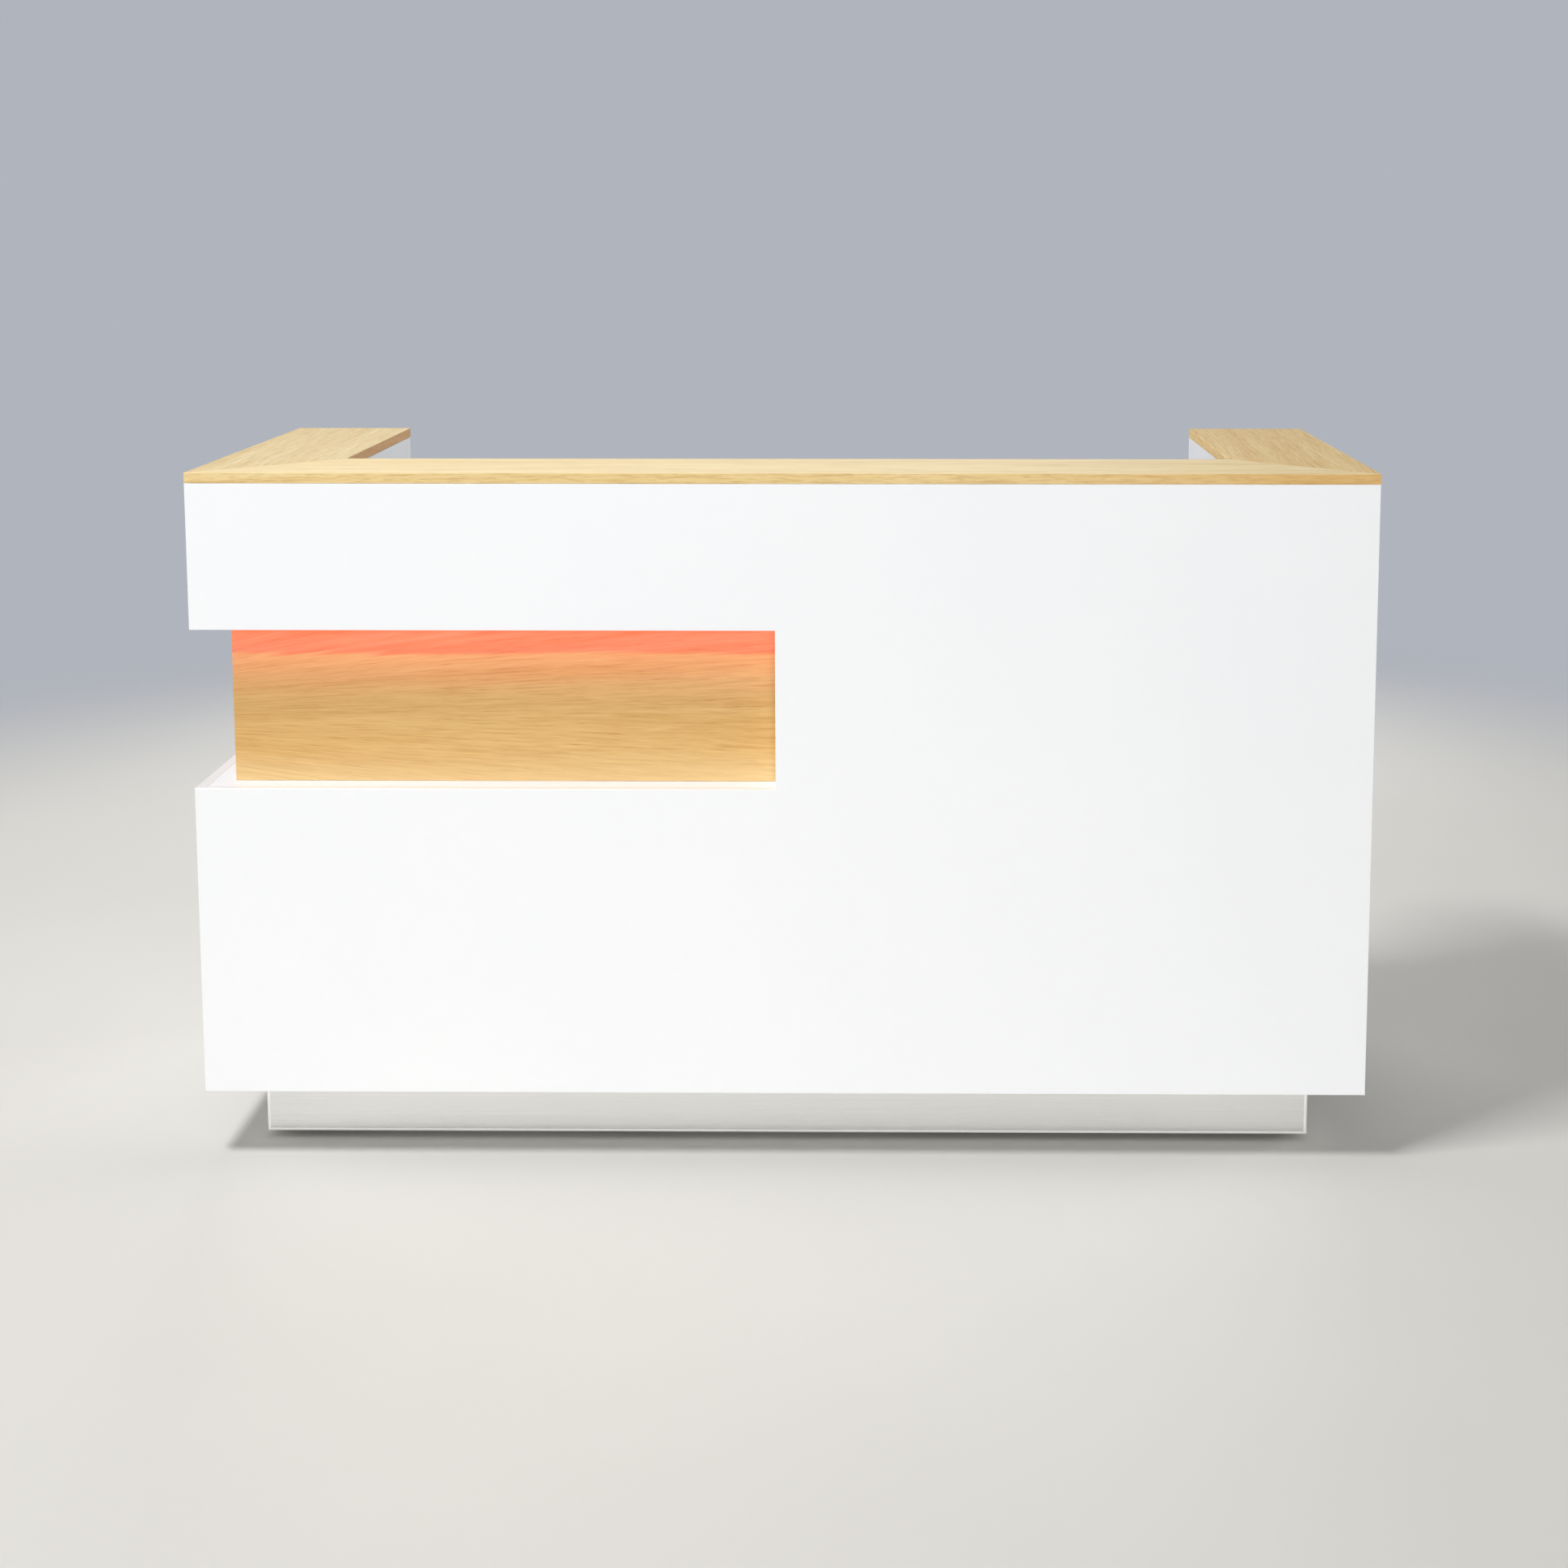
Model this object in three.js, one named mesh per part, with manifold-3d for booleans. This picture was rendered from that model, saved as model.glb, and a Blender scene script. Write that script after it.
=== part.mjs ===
// U-shaped reception desk: an oak counter on hollow white walls, a lit oak recess that wraps the front left
// corner, a brushed toe kick on adjustable legs, and a worktop with a two-drawer pedestal on the staff side.
// Millimetres, +Z up. The origin is on the floor under the middle of the desk, and visitors stand at -Y.
import * as THREE from "three";
import { mergeVertices } from "three/addons/utils/BufferGeometryUtils.js";
import Module from "manifold-3d";

const wasm = await Module();
wasm.setup();

// Overall sizes
const deskWidth = 1829;
const deskDepth = 711;
const deskHeight = 1092;
const wallWidth = 203;
const board = 16;
const seam = 0.3;
const edgeEase = 0.6;

// Counter
const counterThickness = 16;

// Recess in the front left corner
const bandHeight = 228;
const recessHeight = 250;
const recessLength = 904;
const recessDepth = 51;
const oakThickness = 16;

// Light channel let into the top of the recess
const channelWidth = 17;
const channelHeight = 7;
const channelWall = 1.2;
const channelLip = 3;
const channelLipThickness = 1;
const channelSetback = 14;
const diffuserThickness = 1.6;
const diffuserCrown = 0.5;
const stripWidth = 10;
const stripThickness = 1.2;
const chipSize = 5;
const chipHeight = 1.6;
const chipPitch = 33.3;

// Light driver inside the front wall
const driverLength = 150;
const driverHeight = 42;
const driverDepth = 28;
const driverEarLength = 14;
const driverEarThickness = 3;
const driverScrewRadius = 2.2;
const driverRise = 560;

// Base, toe kick and adjustable legs
const baseRise = 108;
const toeInset = 76;
const kickClearance = 12;
const kickBevel = 3;
const legFootRadius = 28;
const legFootThickness = 7;
const legFootTaper = 5;
const legScrewRadius = 10.5;
const legScrewReach = 7;
const legTubeRadius = 16;
const legCollarRadius = 21;
const legCollarHeight = 34;
const legFlangeRadius = 31;
const legFlangeThickness = 5;
const legRibCount = 8;
const legRibThickness = 2.4;
const legRibDrop = 22;
const frontLegCount = 4;
const rearLegSetback = 60;

// Worktop and its cable grommet
const worktopHeight = 740;
const worktopThickness = 25;
const worktopInset = 12;
const cleatThickness = 20;
const cleatHeight = 40;
const cleatSetback = 24;
const grommetBore = 60;
const grommetFromLeft = 520;
const grommetFromWall = 92;
const grommetWall = 4.5;
const grommetFlange = 6;
const grommetFlangeThickness = 2.5;
const grommetSeatDepth = 3;
const grommetSeatStep = 2.4;
const capSlotWidth = 16;
const capSlotDepth = 14;

// Pedestal and drawers
const pedestalWidth = 400;
const pedestalRise = 100;
const pedestalToe = 60;
const frontSetback = 18;
const frontGap = 3;
const bumperGap = 1;
const boxFrontHeight = 190;
const drawerWall = 12;
const drawerFloor = 6;
const drawerFloorRise = 10;
const drawerLift = 14;
const boxDrawerHeight = 128;
const fileDrawerHeight = 272;
const handleLength = 160;
const handleReach = 27;
const handleBar = 8;
const handleWidth = 11;
const handleRadius = 12;
const handleDrop = 38;

// Telescopic drawer slides
const slideThickness = 12.7;
const slideHeight = 45;
const slideGauge = 1.2;
const slideRun = 0.5;
const slideLip = 1.5;
const slideMouth = 8.5;
const slideFrontSetback = 2;
const slideRearGap = 9;
const slideRise = 50;

// Outer faces of the desk
const leftX = -deskWidth / 2;
const rightX = deskWidth / 2;
const frontY = -deskDepth / 2;
const rearY = deskDepth / 2;

// Inside faces of the outer boards, and the two faces of the inner lining
const skinLeftX = leftX + board;
const skinRightX = rightX - board;
const skinFrontY = frontY + board;
const endY = rearY - board;
const innerLeftX = leftX + wallWidth;
const innerRightX = rightX - wallWidth;
const innerFrontY = frontY + wallWidth;
const liningLeftX = innerLeftX - board;
const liningRightX = innerRightX + board;
const liningFrontY = innerFrontY - board;

// Heights
const counterBottom = deskHeight - counterThickness;
const wallTop = counterBottom - seam;
const bandBottom = counterBottom - bandHeight;
const ledgeTop = bandBottom - recessHeight;
const baseTop = baseRise + board;
const worktopBottom = worktopHeight - worktopThickness;

// Recess faces
const recessEndX = leftX + recessLength;
const oakFaceX = leftX + recessDepth;
const oakFaceY = frontY + recessDepth;
const oakBackX = oakFaceX + oakThickness;
const oakBackY = oakFaceY + oakThickness;
const channelX = skinLeftX + channelSetback;
const channelY = skinFrontY + channelSetback;

// Toe kick faces
const kickLeftX = leftX + toeInset;
const kickRightX = rightX - toeInset;
const kickFrontY = frontY + toeInset;
const kickTop = baseRise - seam;

// Pedestal faces, from its fronts towards the visitors
const worktopEdgeY = rearY - worktopInset;
const drawerFaceY = worktopEdgeY - frontSetback;
const drawerFrontBackY = drawerFaceY - board;
const carcassY = drawerFrontBackY - bumperGap;
const pedestalInnerX = innerRightX - pedestalWidth;
const pedestalOuterX = pedestalInnerX - board;
const slideFrontY = carcassY - slideFrontSetback;
const slideBackY = innerFrontY + slideRearGap;

const finish = (color, roughness, metalness = 0) =>
  new THREE.MeshStandardMaterial({ color, roughness, metalness });
const whiteLaminate = finish(0xf5f6f7, 0.22);
const oakVeneer = finish(0xdfbd82, 0.5);
const brushedAluminium = finish(0xcbc8c3, 0.36, 1);
const frostedLens = finish(0xffe3da, 0.6);
const circuitWhite = finish(0xe9e7df, 0.55);
const blackPlastic = finish(0x1d1e20, 0.5);
const greyPlastic = finish(0x8d9094, 0.5);
const zincSteel = finish(0xb4b8bd, 0.38, 1);
const drawerBoard = finish(0xe4e4e1, 0.5);

// A vector that turns X to Y, Y to Z and Z to X when used as an axis for a third of a turn.
const CUBE_DIAGONAL = new THREE.Vector3(1, 1, 1).normalize();
const CIRCLE_STEPS = 28;
const ARC_STEPS = 5;

const rectangle = (u0, v0, u1, v1) => [[u0, v0], [u1, v0], [u1, v1], [u0, v1]];

const toVectors = (points) => points.map(([u, v]) => new THREE.Vector2(u, v));

const toShape = (outline) =>
  outline instanceof THREE.Shape ? outline : new THREE.Shape(toVectors(outline));

// An outline pushed out along its normal, with its long edges eased by a small chamfer.
function prism(outline, thickness, ease, curveSegments = CIRCLE_STEPS / 2) {
  const geometry = new THREE.ExtrudeGeometry(toShape(outline), {
    depth: thickness - 2 * ease,
    bevelEnabled: ease > 0,
    bevelThickness: ease,
    bevelSize: ease,
    bevelOffset: -ease,
    bevelSegments: 1,
    curveSegments,
  });
  return geometry.translate(0, 0, ease);
}

function named(name, geometry, material) {
  const mesh = new THREE.Mesh(geometry, material);
  mesh.name = name;
  return mesh;
}

// A board whose outline lies in the X-Y plane, from one height to another.
function flatBoard(name, outline, [z0, z1], material, ease = edgeEase) {
  const mesh = named(name, prism(outline, z1 - z0, ease), material);
  mesh.position.z = z0;
  return mesh;
}

// A board whose outline lies in the X-Z plane, as seen by a visitor.
function faceBoard(name, outline, [y0, y1], material, ease = edgeEase) {
  const mesh = named(name, prism(outline, y1 - y0, ease), material);
  mesh.rotation.x = Math.PI / 2;
  mesh.position.y = y1;
  return mesh;
}

// A board whose outline lies in the Y-Z plane, as seen from the side.
function sideBoard(name, outline, [x0, x1], material, ease = edgeEase) {
  const mesh = named(name, prism(outline, x1 - x0, ease), material);
  mesh.quaternion.setFromAxisAngle(CUBE_DIAGONAL, (2 * Math.PI) / 3);
  mesh.position.x = x0;
  return mesh;
}

// A closed geometry as a solid that can be cut and joined. Triangles of no area, which a turned geometry has
// on its axis, are left out.
function toSolid(geometry) {
  const bare = geometry.index ? geometry.toNonIndexed() : geometry.clone();
  bare.deleteAttribute("normal");
  bare.deleteAttribute("uv");
  const merged = mergeVertices(bare);
  const corners = merged.index.array;
  const kept = [];
  for (let i = 0; i < corners.length; i += 3) {
    const triangle = corners.slice(i, i + 3);
    if (new Set(triangle).size === 3) kept.push(...triangle);
  }
  return new wasm.Manifold(
    new wasm.Mesh({
      numProp: 3,
      vertProperties: merged.attributes.position.array,
      triVerts: new Uint32Array(kept),
    }),
  );
}

function toGeometry(solid) {
  const { vertProperties, triVerts } = solid.getMesh();
  const geometry = new THREE.BufferGeometry();
  geometry.setAttribute("position", new THREE.BufferAttribute(vertProperties, 3));
  geometry.setIndex(new THREE.BufferAttribute(triVerts, 1));
  geometry.computeVertexNormals();
  return geometry;
}

// A square-edged block between two corners, as a cutter or a block to join.
function block([x0, y0, z0], [x1, y1, z1]) {
  const geometry = new THREE.BoxGeometry(x1 - x0, y1 - y0, z1 - z0);
  return toSolid(geometry.translate((x0 + x1) / 2, (y0 + y1) / 2, (z0 + z1) / 2));
}

// Three oak boards, mitred from the outer corners to the inner ones.
function makeCounter() {
  const heights = [counterBottom, deskHeight];
  const mitreShift = seam * Math.SQRT2;
  const front = [[leftX, frontY], [rightX, frontY], [innerRightX, innerFrontY], [innerLeftX, innerFrontY]];
  const left = [
    [leftX, frontY + mitreShift],
    [innerLeftX, innerFrontY + mitreShift],
    [innerLeftX, rearY],
    [leftX, rearY],
  ];
  const right = left.map(([x, y]) => [-x, y]);
  return [
    flatBoard("counter_front", front, heights, oakVeneer),
    flatBoard("counter_left", left, heights, oakVeneer),
    flatBoard("counter_right", right.reverse(), heights, oakVeneer),
  ];
}

// The white boards that visitors see. One sheet makes the front, notched where the recess opens.
function makeOuterSkin() {
  const frontOutline = [
    [leftX, baseRise],
    [rightX, baseRise],
    [rightX, wallTop],
    [leftX, wallTop],
    [leftX, bandBottom],
    [recessEndX, bandBottom],
    [recessEndX, ledgeTop],
    [leftX, ledgeTop],
  ];
  const sideOutline = (bottom, top) => rectangle(skinFrontY + seam, bottom, endY - seam, top);
  const leftSpan = [leftX, skinLeftX];
  const rightSpan = [skinRightX, rightX];
  // The end board of a wing runs down to the plinth, and is notched for the toe space.
  const endOutline = [
    [kickLeftX, kickClearance],
    [innerLeftX, kickClearance],
    [innerLeftX, wallTop],
    [leftX, wallTop],
    [leftX, baseRise],
    [kickLeftX, baseRise],
  ];
  const mirrored = endOutline.map(([x, z]) => [-x, z]).reverse();
  return [
    faceBoard("front_panel", frontOutline, [frontY, skinFrontY], whiteLaminate),
    sideBoard("left_upper_panel", sideOutline(bandBottom, wallTop), leftSpan, whiteLaminate),
    sideBoard("left_lower_panel", sideOutline(baseRise, ledgeTop), leftSpan, whiteLaminate),
    sideBoard("right_side_panel", sideOutline(baseRise, wallTop), rightSpan, whiteLaminate),
    faceBoard("left_end_panel", endOutline, [endY, rearY], whiteLaminate),
    faceBoard("right_end_panel", mirrored, [endY, rearY], whiteLaminate),
  ];
}

// The staff-side lining of the three walls, and the upright board that stiffens the front wall.
function makeInnerLining() {
  const wingOutline = rectangle(liningFrontY, kickClearance, endY - seam, wallTop);
  const frontOutline = rectangle(innerLeftX + seam, kickClearance, innerRightX - seam, wallTop);
  const ribOutline = rectangle(skinFrontY + seam, baseTop + seam, liningFrontY - seam, wallTop);
  const ribX = (recessEndX + board + liningRightX) / 2;
  return [
    faceBoard("inner_front_panel", frontOutline, [liningFrontY, innerFrontY], whiteLaminate),
    sideBoard("inner_left_panel", wingOutline, [liningLeftX, innerLeftX], whiteLaminate),
    sideBoard("inner_right_panel", wingOutline, [innerRightX, liningRightX], whiteLaminate),
    sideBoard("front_rib", ribOutline, [ribX - board / 2, ribX + board / 2], whiteLaminate),
  ];
}

// The oak-lined recess: ledge, soffit, two mitred oak boards and the upright that closes its right end.
function makeRecess() {
  const rear = endY - seam;
  const end = recessEndX - seam;
  const mitreShift = seam * Math.SQRT2;
  const corner = [
    [skinLeftX + seam, skinFrontY + seam],
    [end, skinFrontY + seam],
    [end, oakBackY],
    [oakBackX, oakBackY],
    [oakBackX, rear],
    [skinLeftX + seam, rear],
  ];
  const oakFront = [[oakFaceX, oakFaceY], [end, oakFaceY], [end, oakBackY], [oakBackX, oakBackY]];
  const oakSide = [
    [oakFaceX, oakFaceY + mitreShift],
    [oakBackX, oakBackY + mitreShift],
    [oakBackX, rear],
    [oakFaceX, rear],
  ];
  const oakHeights = [ledgeTop + seam, bandBottom - seam];
  const stopOutline = rectangle(skinFrontY + seam, baseTop + seam, liningFrontY - seam, wallTop);
  const soffit = flatBoard("recess_soffit", corner, [bandBottom, bandBottom + board], whiteLaminate);
  soffit.geometry = cutChannelGroove(soffit.geometry);
  return [
    flatBoard("recess_ledge", corner, [ledgeTop - board, ledgeTop], whiteLaminate),
    soffit,
    flatBoard("oak_front_panel", oakFront, oakHeights, oakVeneer),
    flatBoard("oak_side_panel", oakSide, oakHeights, oakVeneer),
    sideBoard("recess_stop_panel", stopOutline, [recessEndX, recessEndX + board], whiteLaminate),
  ];
}

// The groove for the light channel, in the underside of the soffit board.
function cutChannelGroove(soffitGeometry) {
  const reach = channelWidth / 2 + seam;
  const depth = channelHeight + seam;
  const front = block([leftX, channelY - reach, -depth], [rightX, channelY + reach, depth]);
  const side = block([channelX - reach, channelY, -depth], [channelX + reach, rearY, depth]);
  return toGeometry(toSolid(soffitGeometry).subtract(front).subtract(side));
}

// The section of the light channel, open downwards, around its middle line at the soffit's underside.
function channelSection(middle) {
  const half = channelWidth / 2;
  const inner = half - channelWall;
  const lip = half + channelLip;
  const ceiling = bandBottom + channelHeight;
  const lipTop = bandBottom - seam;
  const lipBottom = lipTop - channelLipThickness;
  const right = [
    [inner, ceiling - channelWall],
    [inner, lipBottom],
    [lip, lipBottom],
    [lip, lipTop],
    [half, lipTop],
    [half, ceiling],
  ];
  const left = right.map(([u, v]) => [-u, v]).reverse();
  return [...right, ...left].map(([u, v]) => [middle + u, v]);
}

// The frosted cover in the channel's mouth, a little crowned on its lit face.
function diffuserSection(middle) {
  const half = channelWidth / 2 - channelWall - seam;
  const bottom = bandBottom - seam - channelLipThickness;
  const top = bottom + diffuserThickness;
  const shape = new THREE.Shape();
  shape.moveTo(middle - half, top);
  shape.lineTo(middle - half, bottom + diffuserCrown);
  shape.quadraticCurveTo(middle, bottom - diffuserCrown, middle + half, bottom + diffuserCrown);
  shape.lineTo(middle + half, top);
  return shape;
}

// The side view of a light strip: a thin board with a row of chips hanging from it.
function stripOutline(start, end) {
  const top = bandBottom + channelHeight - channelWall - seam;
  const underside = top - stripThickness;
  const count = Math.floor((end - start) / chipPitch);
  const first = (start + end - (count - 1) * chipPitch) / 2;
  const points = [[start, top], [start, underside]];
  for (let i = 0; i < count; i += 1) {
    const left = first + i * chipPitch - chipSize / 2;
    const right = left + chipSize;
    const chipBottom = underside - chipHeight;
    points.push([left, underside], [left, chipBottom], [right, chipBottom], [right, underside]);
  }
  return [...points, [end, underside], [end, top]];
}

// Channel, strip and diffuser for the front run and for the run along the left wing.
function makeLight() {
  const frontRun = [skinLeftX + seam, recessEndX - seam];
  const sideRun = [channelY + channelWidth / 2 + channelLip + seam, endY - seam];
  const across = (middle) => [middle - stripWidth / 2, middle + stripWidth / 2];
  return [
    sideBoard("led_channel_front", channelSection(channelY), frontRun, brushedAluminium, 0),
    faceBoard("led_channel_side", channelSection(channelX), sideRun, brushedAluminium, 0),
    faceBoard("led_strip_front", stripOutline(...frontRun), across(channelY), circuitWhite, 0),
    sideBoard("led_strip_side", stripOutline(...sideRun), across(channelX), circuitWhite, 0),
    sideBoard("led_diffuser_front", diffuserSection(channelY), frontRun, frostedLens, 0),
    faceBoard("led_diffuser_side", diffuserSection(channelX), sideRun, frostedLens, 0),
    makeDriver(),
  ];
}

// The light driver: a closed case on a back plate whose ears are screwed to the lining, inside the wall.
function makeDriver() {
  const middleX = (oakBackX + recessEndX) / 2;
  const backY = liningFrontY - seam;
  const earReach = driverLength / 2 + driverEarLength;
  const plate = toShape(rectangle(-earReach, -driverHeight / 2, earReach, driverHeight / 2));
  for (const side of [-1, 1]) {
    const hole = new THREE.Path();
    hole.absarc((side * (driverLength + driverEarLength)) / 2, 0, driverScrewRadius, 0, 2 * Math.PI);
    plate.holes.push(hole);
  }
  const body = prism(
    rectangle(-driverLength / 2, -driverHeight / 2, driverLength / 2, driverHeight / 2),
    driverDepth,
    2 * edgeEase,
  );
  const joined = toSolid(prism(plate, driverEarThickness, 0)).add(toSolid(body));
  const mesh = named("led_driver", toGeometry(joined), blackPlastic);
  mesh.rotation.x = Math.PI / 2;
  mesh.position.set(middleX, backY, driverRise);
  return mesh;
}

// The U-shaped base board and the three kick boards under it, set back for toes.
function makeBase() {
  const outer = [skinLeftX + seam, skinFrontY + seam, skinRightX - seam, endY - seam];
  const baseOutline = [
    [outer[0], outer[1]],
    [outer[2], outer[1]],
    [outer[2], outer[3]],
    [liningRightX + seam, outer[3]],
    [liningRightX + seam, liningFrontY - seam],
    [liningLeftX - seam, liningFrontY - seam],
    [liningLeftX - seam, outer[3]],
    [outer[0], outer[3]],
  ];
  const kickSide = rectangle(kickFrontY + board + seam, kickClearance, endY - seam, kickTop);
  const kickFront = rectangle(kickLeftX, kickClearance, kickRightX, kickTop);
  return [
    flatBoard("base_panel", baseOutline, [baseRise, baseTop], whiteLaminate),
    faceBoard("kick_front", kickFront, [kickFrontY, kickFrontY + board], brushedAluminium, kickBevel),
    sideBoard("kick_left", kickSide, [kickLeftX, kickLeftX + board], brushedAluminium, kickBevel),
    sideBoard("kick_right", kickSide, [kickRightX - board, kickRightX], brushedAluminium, kickBevel),
  ];
}

// One adjustable leg: a turned floor pad, screw, tube and top flange, with ribs between flange and collar.
function legGeometry() {
  const footTop = legFootThickness + legFootTaper;
  const tubeBottom = footTop + legScrewReach;
  const profile = [
    [0, 0],
    [legFootRadius - edgeEase, 0],
    [legFootRadius, edgeEase],
    [legFootRadius, legFootThickness],
    [legTubeRadius, footTop],
    [legScrewRadius, footTop],
    [legScrewRadius, tubeBottom],
    [legTubeRadius, tubeBottom],
    [legTubeRadius, kickTop - legCollarHeight],
    [legCollarRadius, kickTop - legCollarHeight],
    [legCollarRadius, kickTop - legFlangeThickness],
    [legFlangeRadius, kickTop - legFlangeThickness],
    [legFlangeRadius, kickTop],
    [0, kickTop],
  ];
  let leg = toSolid(new THREE.LatheGeometry(toVectors(profile), CIRCLE_STEPS).rotateX(Math.PI / 2));
  for (let i = 0; i < legRibCount; i += 1) {
    leg = leg.add(toSolid(legRibGeometry().rotateZ((2 * Math.PI * i) / legRibCount)));
  }
  return toGeometry(leg);
}

// One upright rib of a leg, rooted in the collar and in the flange.
function legRibGeometry() {
  const top = kickTop - legFlangeThickness / 2;
  const underFlange = kickTop - legFlangeThickness;
  const tip = legFlangeRadius - edgeEase;
  const outline = [
    [legTubeRadius, underFlange - legRibDrop],
    [legCollarRadius, underFlange - legRibDrop],
    [tip, underFlange],
    [tip, top],
    [legTubeRadius, top],
  ];
  return prism(outline, legRibThickness, 0).rotateX(Math.PI / 2).translate(0, legRibThickness / 2, 0);
}

// Legs under the front wall and at the rear of each wing, halfway between the kick and the lining.
function makeLegs() {
  const wallMiddle = (toeInset + wallWidth) / 2;
  const outerX = rightX - wallMiddle;
  const frontLegY = frontY + wallMiddle;
  const rearLegY = endY - rearLegSetback;
  const places = [[-outerX, rearLegY], [outerX, rearLegY]];
  for (let i = 0; i < frontLegCount; i += 1) {
    places.push([-outerX + (2 * outerX * i) / (frontLegCount - 1), frontLegY]);
  }
  return places.map(([x, y], i) => {
    const leg = named(`leg_${i + 1}`, legGeometry(), blackPlastic);
    leg.position.set(x, y, 0);
    return leg;
  });
}

// The staff worktop between the wings, its cleat on the left wing, and the cable grommet.
function makeWorktop() {
  const left = innerLeftX + seam;
  const top = toShape(rectangle(left, innerFrontY + seam, innerRightX - seam, worktopEdgeY));
  const grommet = new THREE.Vector2(innerLeftX + grommetFromLeft, innerFrontY + grommetFromWall);
  const bore = new THREE.Path();
  bore.absarc(grommet.x, grommet.y, grommetBore / 2, 0, 2 * Math.PI);
  top.holes.push(bore);
  const cleat = rectangle(
    innerFrontY + seam,
    worktopBottom - seam - cleatHeight,
    worktopEdgeY - cleatSetback,
    worktopBottom - seam,
  );
  const liner = named("grommet_liner", linerGeometry(), greyPlastic);
  const cap = named("grommet_cap", capGeometry(), greyPlastic);
  liner.position.set(grommet.x, grommet.y, worktopHeight);
  cap.position.set(grommet.x, grommet.y, worktopHeight + seam + grommetFlangeThickness - grommetSeatDepth);
  return [
    flatBoard("worktop", top, [worktopBottom, worktopHeight], whiteLaminate),
    sideBoard("worktop_cleat", cleat, [left, left + cleatThickness], whiteLaminate),
    liner,
    cap,
  ];
}

const linerRadius = grommetBore / 2 - seam;
const linerBore = linerRadius - grommetWall;
const linerSeat = linerBore + grommetSeatStep;

// The grommet's sleeve, turned about its axis, with a flange on the worktop and a seat for its cap.
function linerGeometry() {
  const top = seam + grommetFlangeThickness;
  const seat = top - grommetSeatDepth - seam;
  const flangeRadius = grommetBore / 2 + grommetFlange;
  const profile = [
    [linerBore, -worktopThickness],
    [linerRadius, -worktopThickness],
    [linerRadius, seam],
    [flangeRadius, seam],
    [flangeRadius, top - edgeEase],
    [flangeRadius - edgeEase, top],
    [linerSeat, top],
    [linerSeat, seat],
    [linerBore, seat],
    [linerBore, -worktopThickness],
  ];
  return new THREE.LatheGeometry(toVectors(profile), CIRCLE_STEPS).rotateX(Math.PI / 2);
}

// The grommet's cap: a disc that turns in the seat, slotted from its rim for cables.
function capGeometry() {
  const radius = linerSeat - seam;
  const half = capSlotWidth / 2;
  const angle = Math.asin(half / radius);
  const floorY = radius - capSlotDepth;
  const shape = new THREE.Shape();
  shape.absarc(0, 0, radius, Math.PI / 2 + angle, Math.PI / 2 - angle + 2 * Math.PI);
  shape.lineTo(half, floorY + half);
  shape.absarc(0, floorY + half, half, 0, -Math.PI, true);
  shape.closePath();
  return prism(shape, grommetSeatDepth, 0);
}

// The fixed boards of the pedestal, which hangs between the worktop and the right wing.
function makePedestal() {
  const back = innerFrontY + seam;
  const toeY = carcassY - pedestalToe;
  const sideOutline = [
    [back, kickClearance],
    [toeY, kickClearance],
    [toeY, pedestalRise],
    [carcassY, pedestalRise],
    [carcassY, worktopBottom - seam],
    [back, worktopBottom - seam],
  ];
  const between = [pedestalInnerX + seam, innerRightX - seam];
  const floor = rectangle(between[0], back, between[1], carcassY);
  const toe = rectangle(between[0], kickClearance, between[1], pedestalRise - seam);
  return [
    sideBoard("pedestal_side", sideOutline, [pedestalOuterX, pedestalInnerX], whiteLaminate),
    flatBoard("pedestal_bottom", floor, [pedestalRise, pedestalRise + board], whiteLaminate),
    faceBoard("pedestal_toe", toe, [toeY - board, toeY], brushedAluminium),
  ];
}

// One drawer: its front, its glued box, its handle and the two telescopic slides that carry it.
function makeDrawer(name, frontBottom, frontTop, boxHeight) {
  const front = rectangle(pedestalOuterX, frontBottom, innerRightX - frontGap, frontTop);
  const boxBottom = Math.max(frontBottom, pedestalRise + board) + drawerLift;
  const boxLeft = pedestalInnerX + slideThickness;
  const boxRight = innerRightX - slideThickness;
  const boxPlan = [boxLeft, slideBackY, boxRight, drawerFrontBackY - seam];
  const handleX = (pedestalOuterX + innerRightX - frontGap) / 2;
  const handle = named(`${name}_handle`, handleGeometry(), brushedAluminium);
  handle.position.set(handleX, drawerFaceY + seam, frontTop - handleDrop);
  return [
    faceBoard(`${name}_front`, front, [drawerFrontBackY, drawerFaceY], whiteLaminate),
    named(`${name}_box`, drawerBoxGeometry(boxPlan, boxBottom, boxHeight), drawerBoard),
    handle,
    ...makeSlidePair(name, boxBottom + slideRise),
  ];
}

// A glued box of four walls, with its floor let in above their lower edges.
function drawerBoxGeometry([x0, y0, x1, y1], bottom, height) {
  const outside = prism(rectangle(x0, y0, x1, y1), height, edgeEase).translate(0, 0, bottom);
  const floorBottom = bottom + drawerFloorRise;
  const between = (z0, z1) =>
    block([x0 + drawerWall, y0 + drawerWall, z0], [x1 - drawerWall, y1 - drawerWall, z1]);
  const above = between(floorBottom + drawerFloor, bottom + 2 * height);
  const below = between(bottom - height, floorBottom);
  return toGeometry(toSolid(outside).subtract(above).subtract(below));
}

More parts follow.
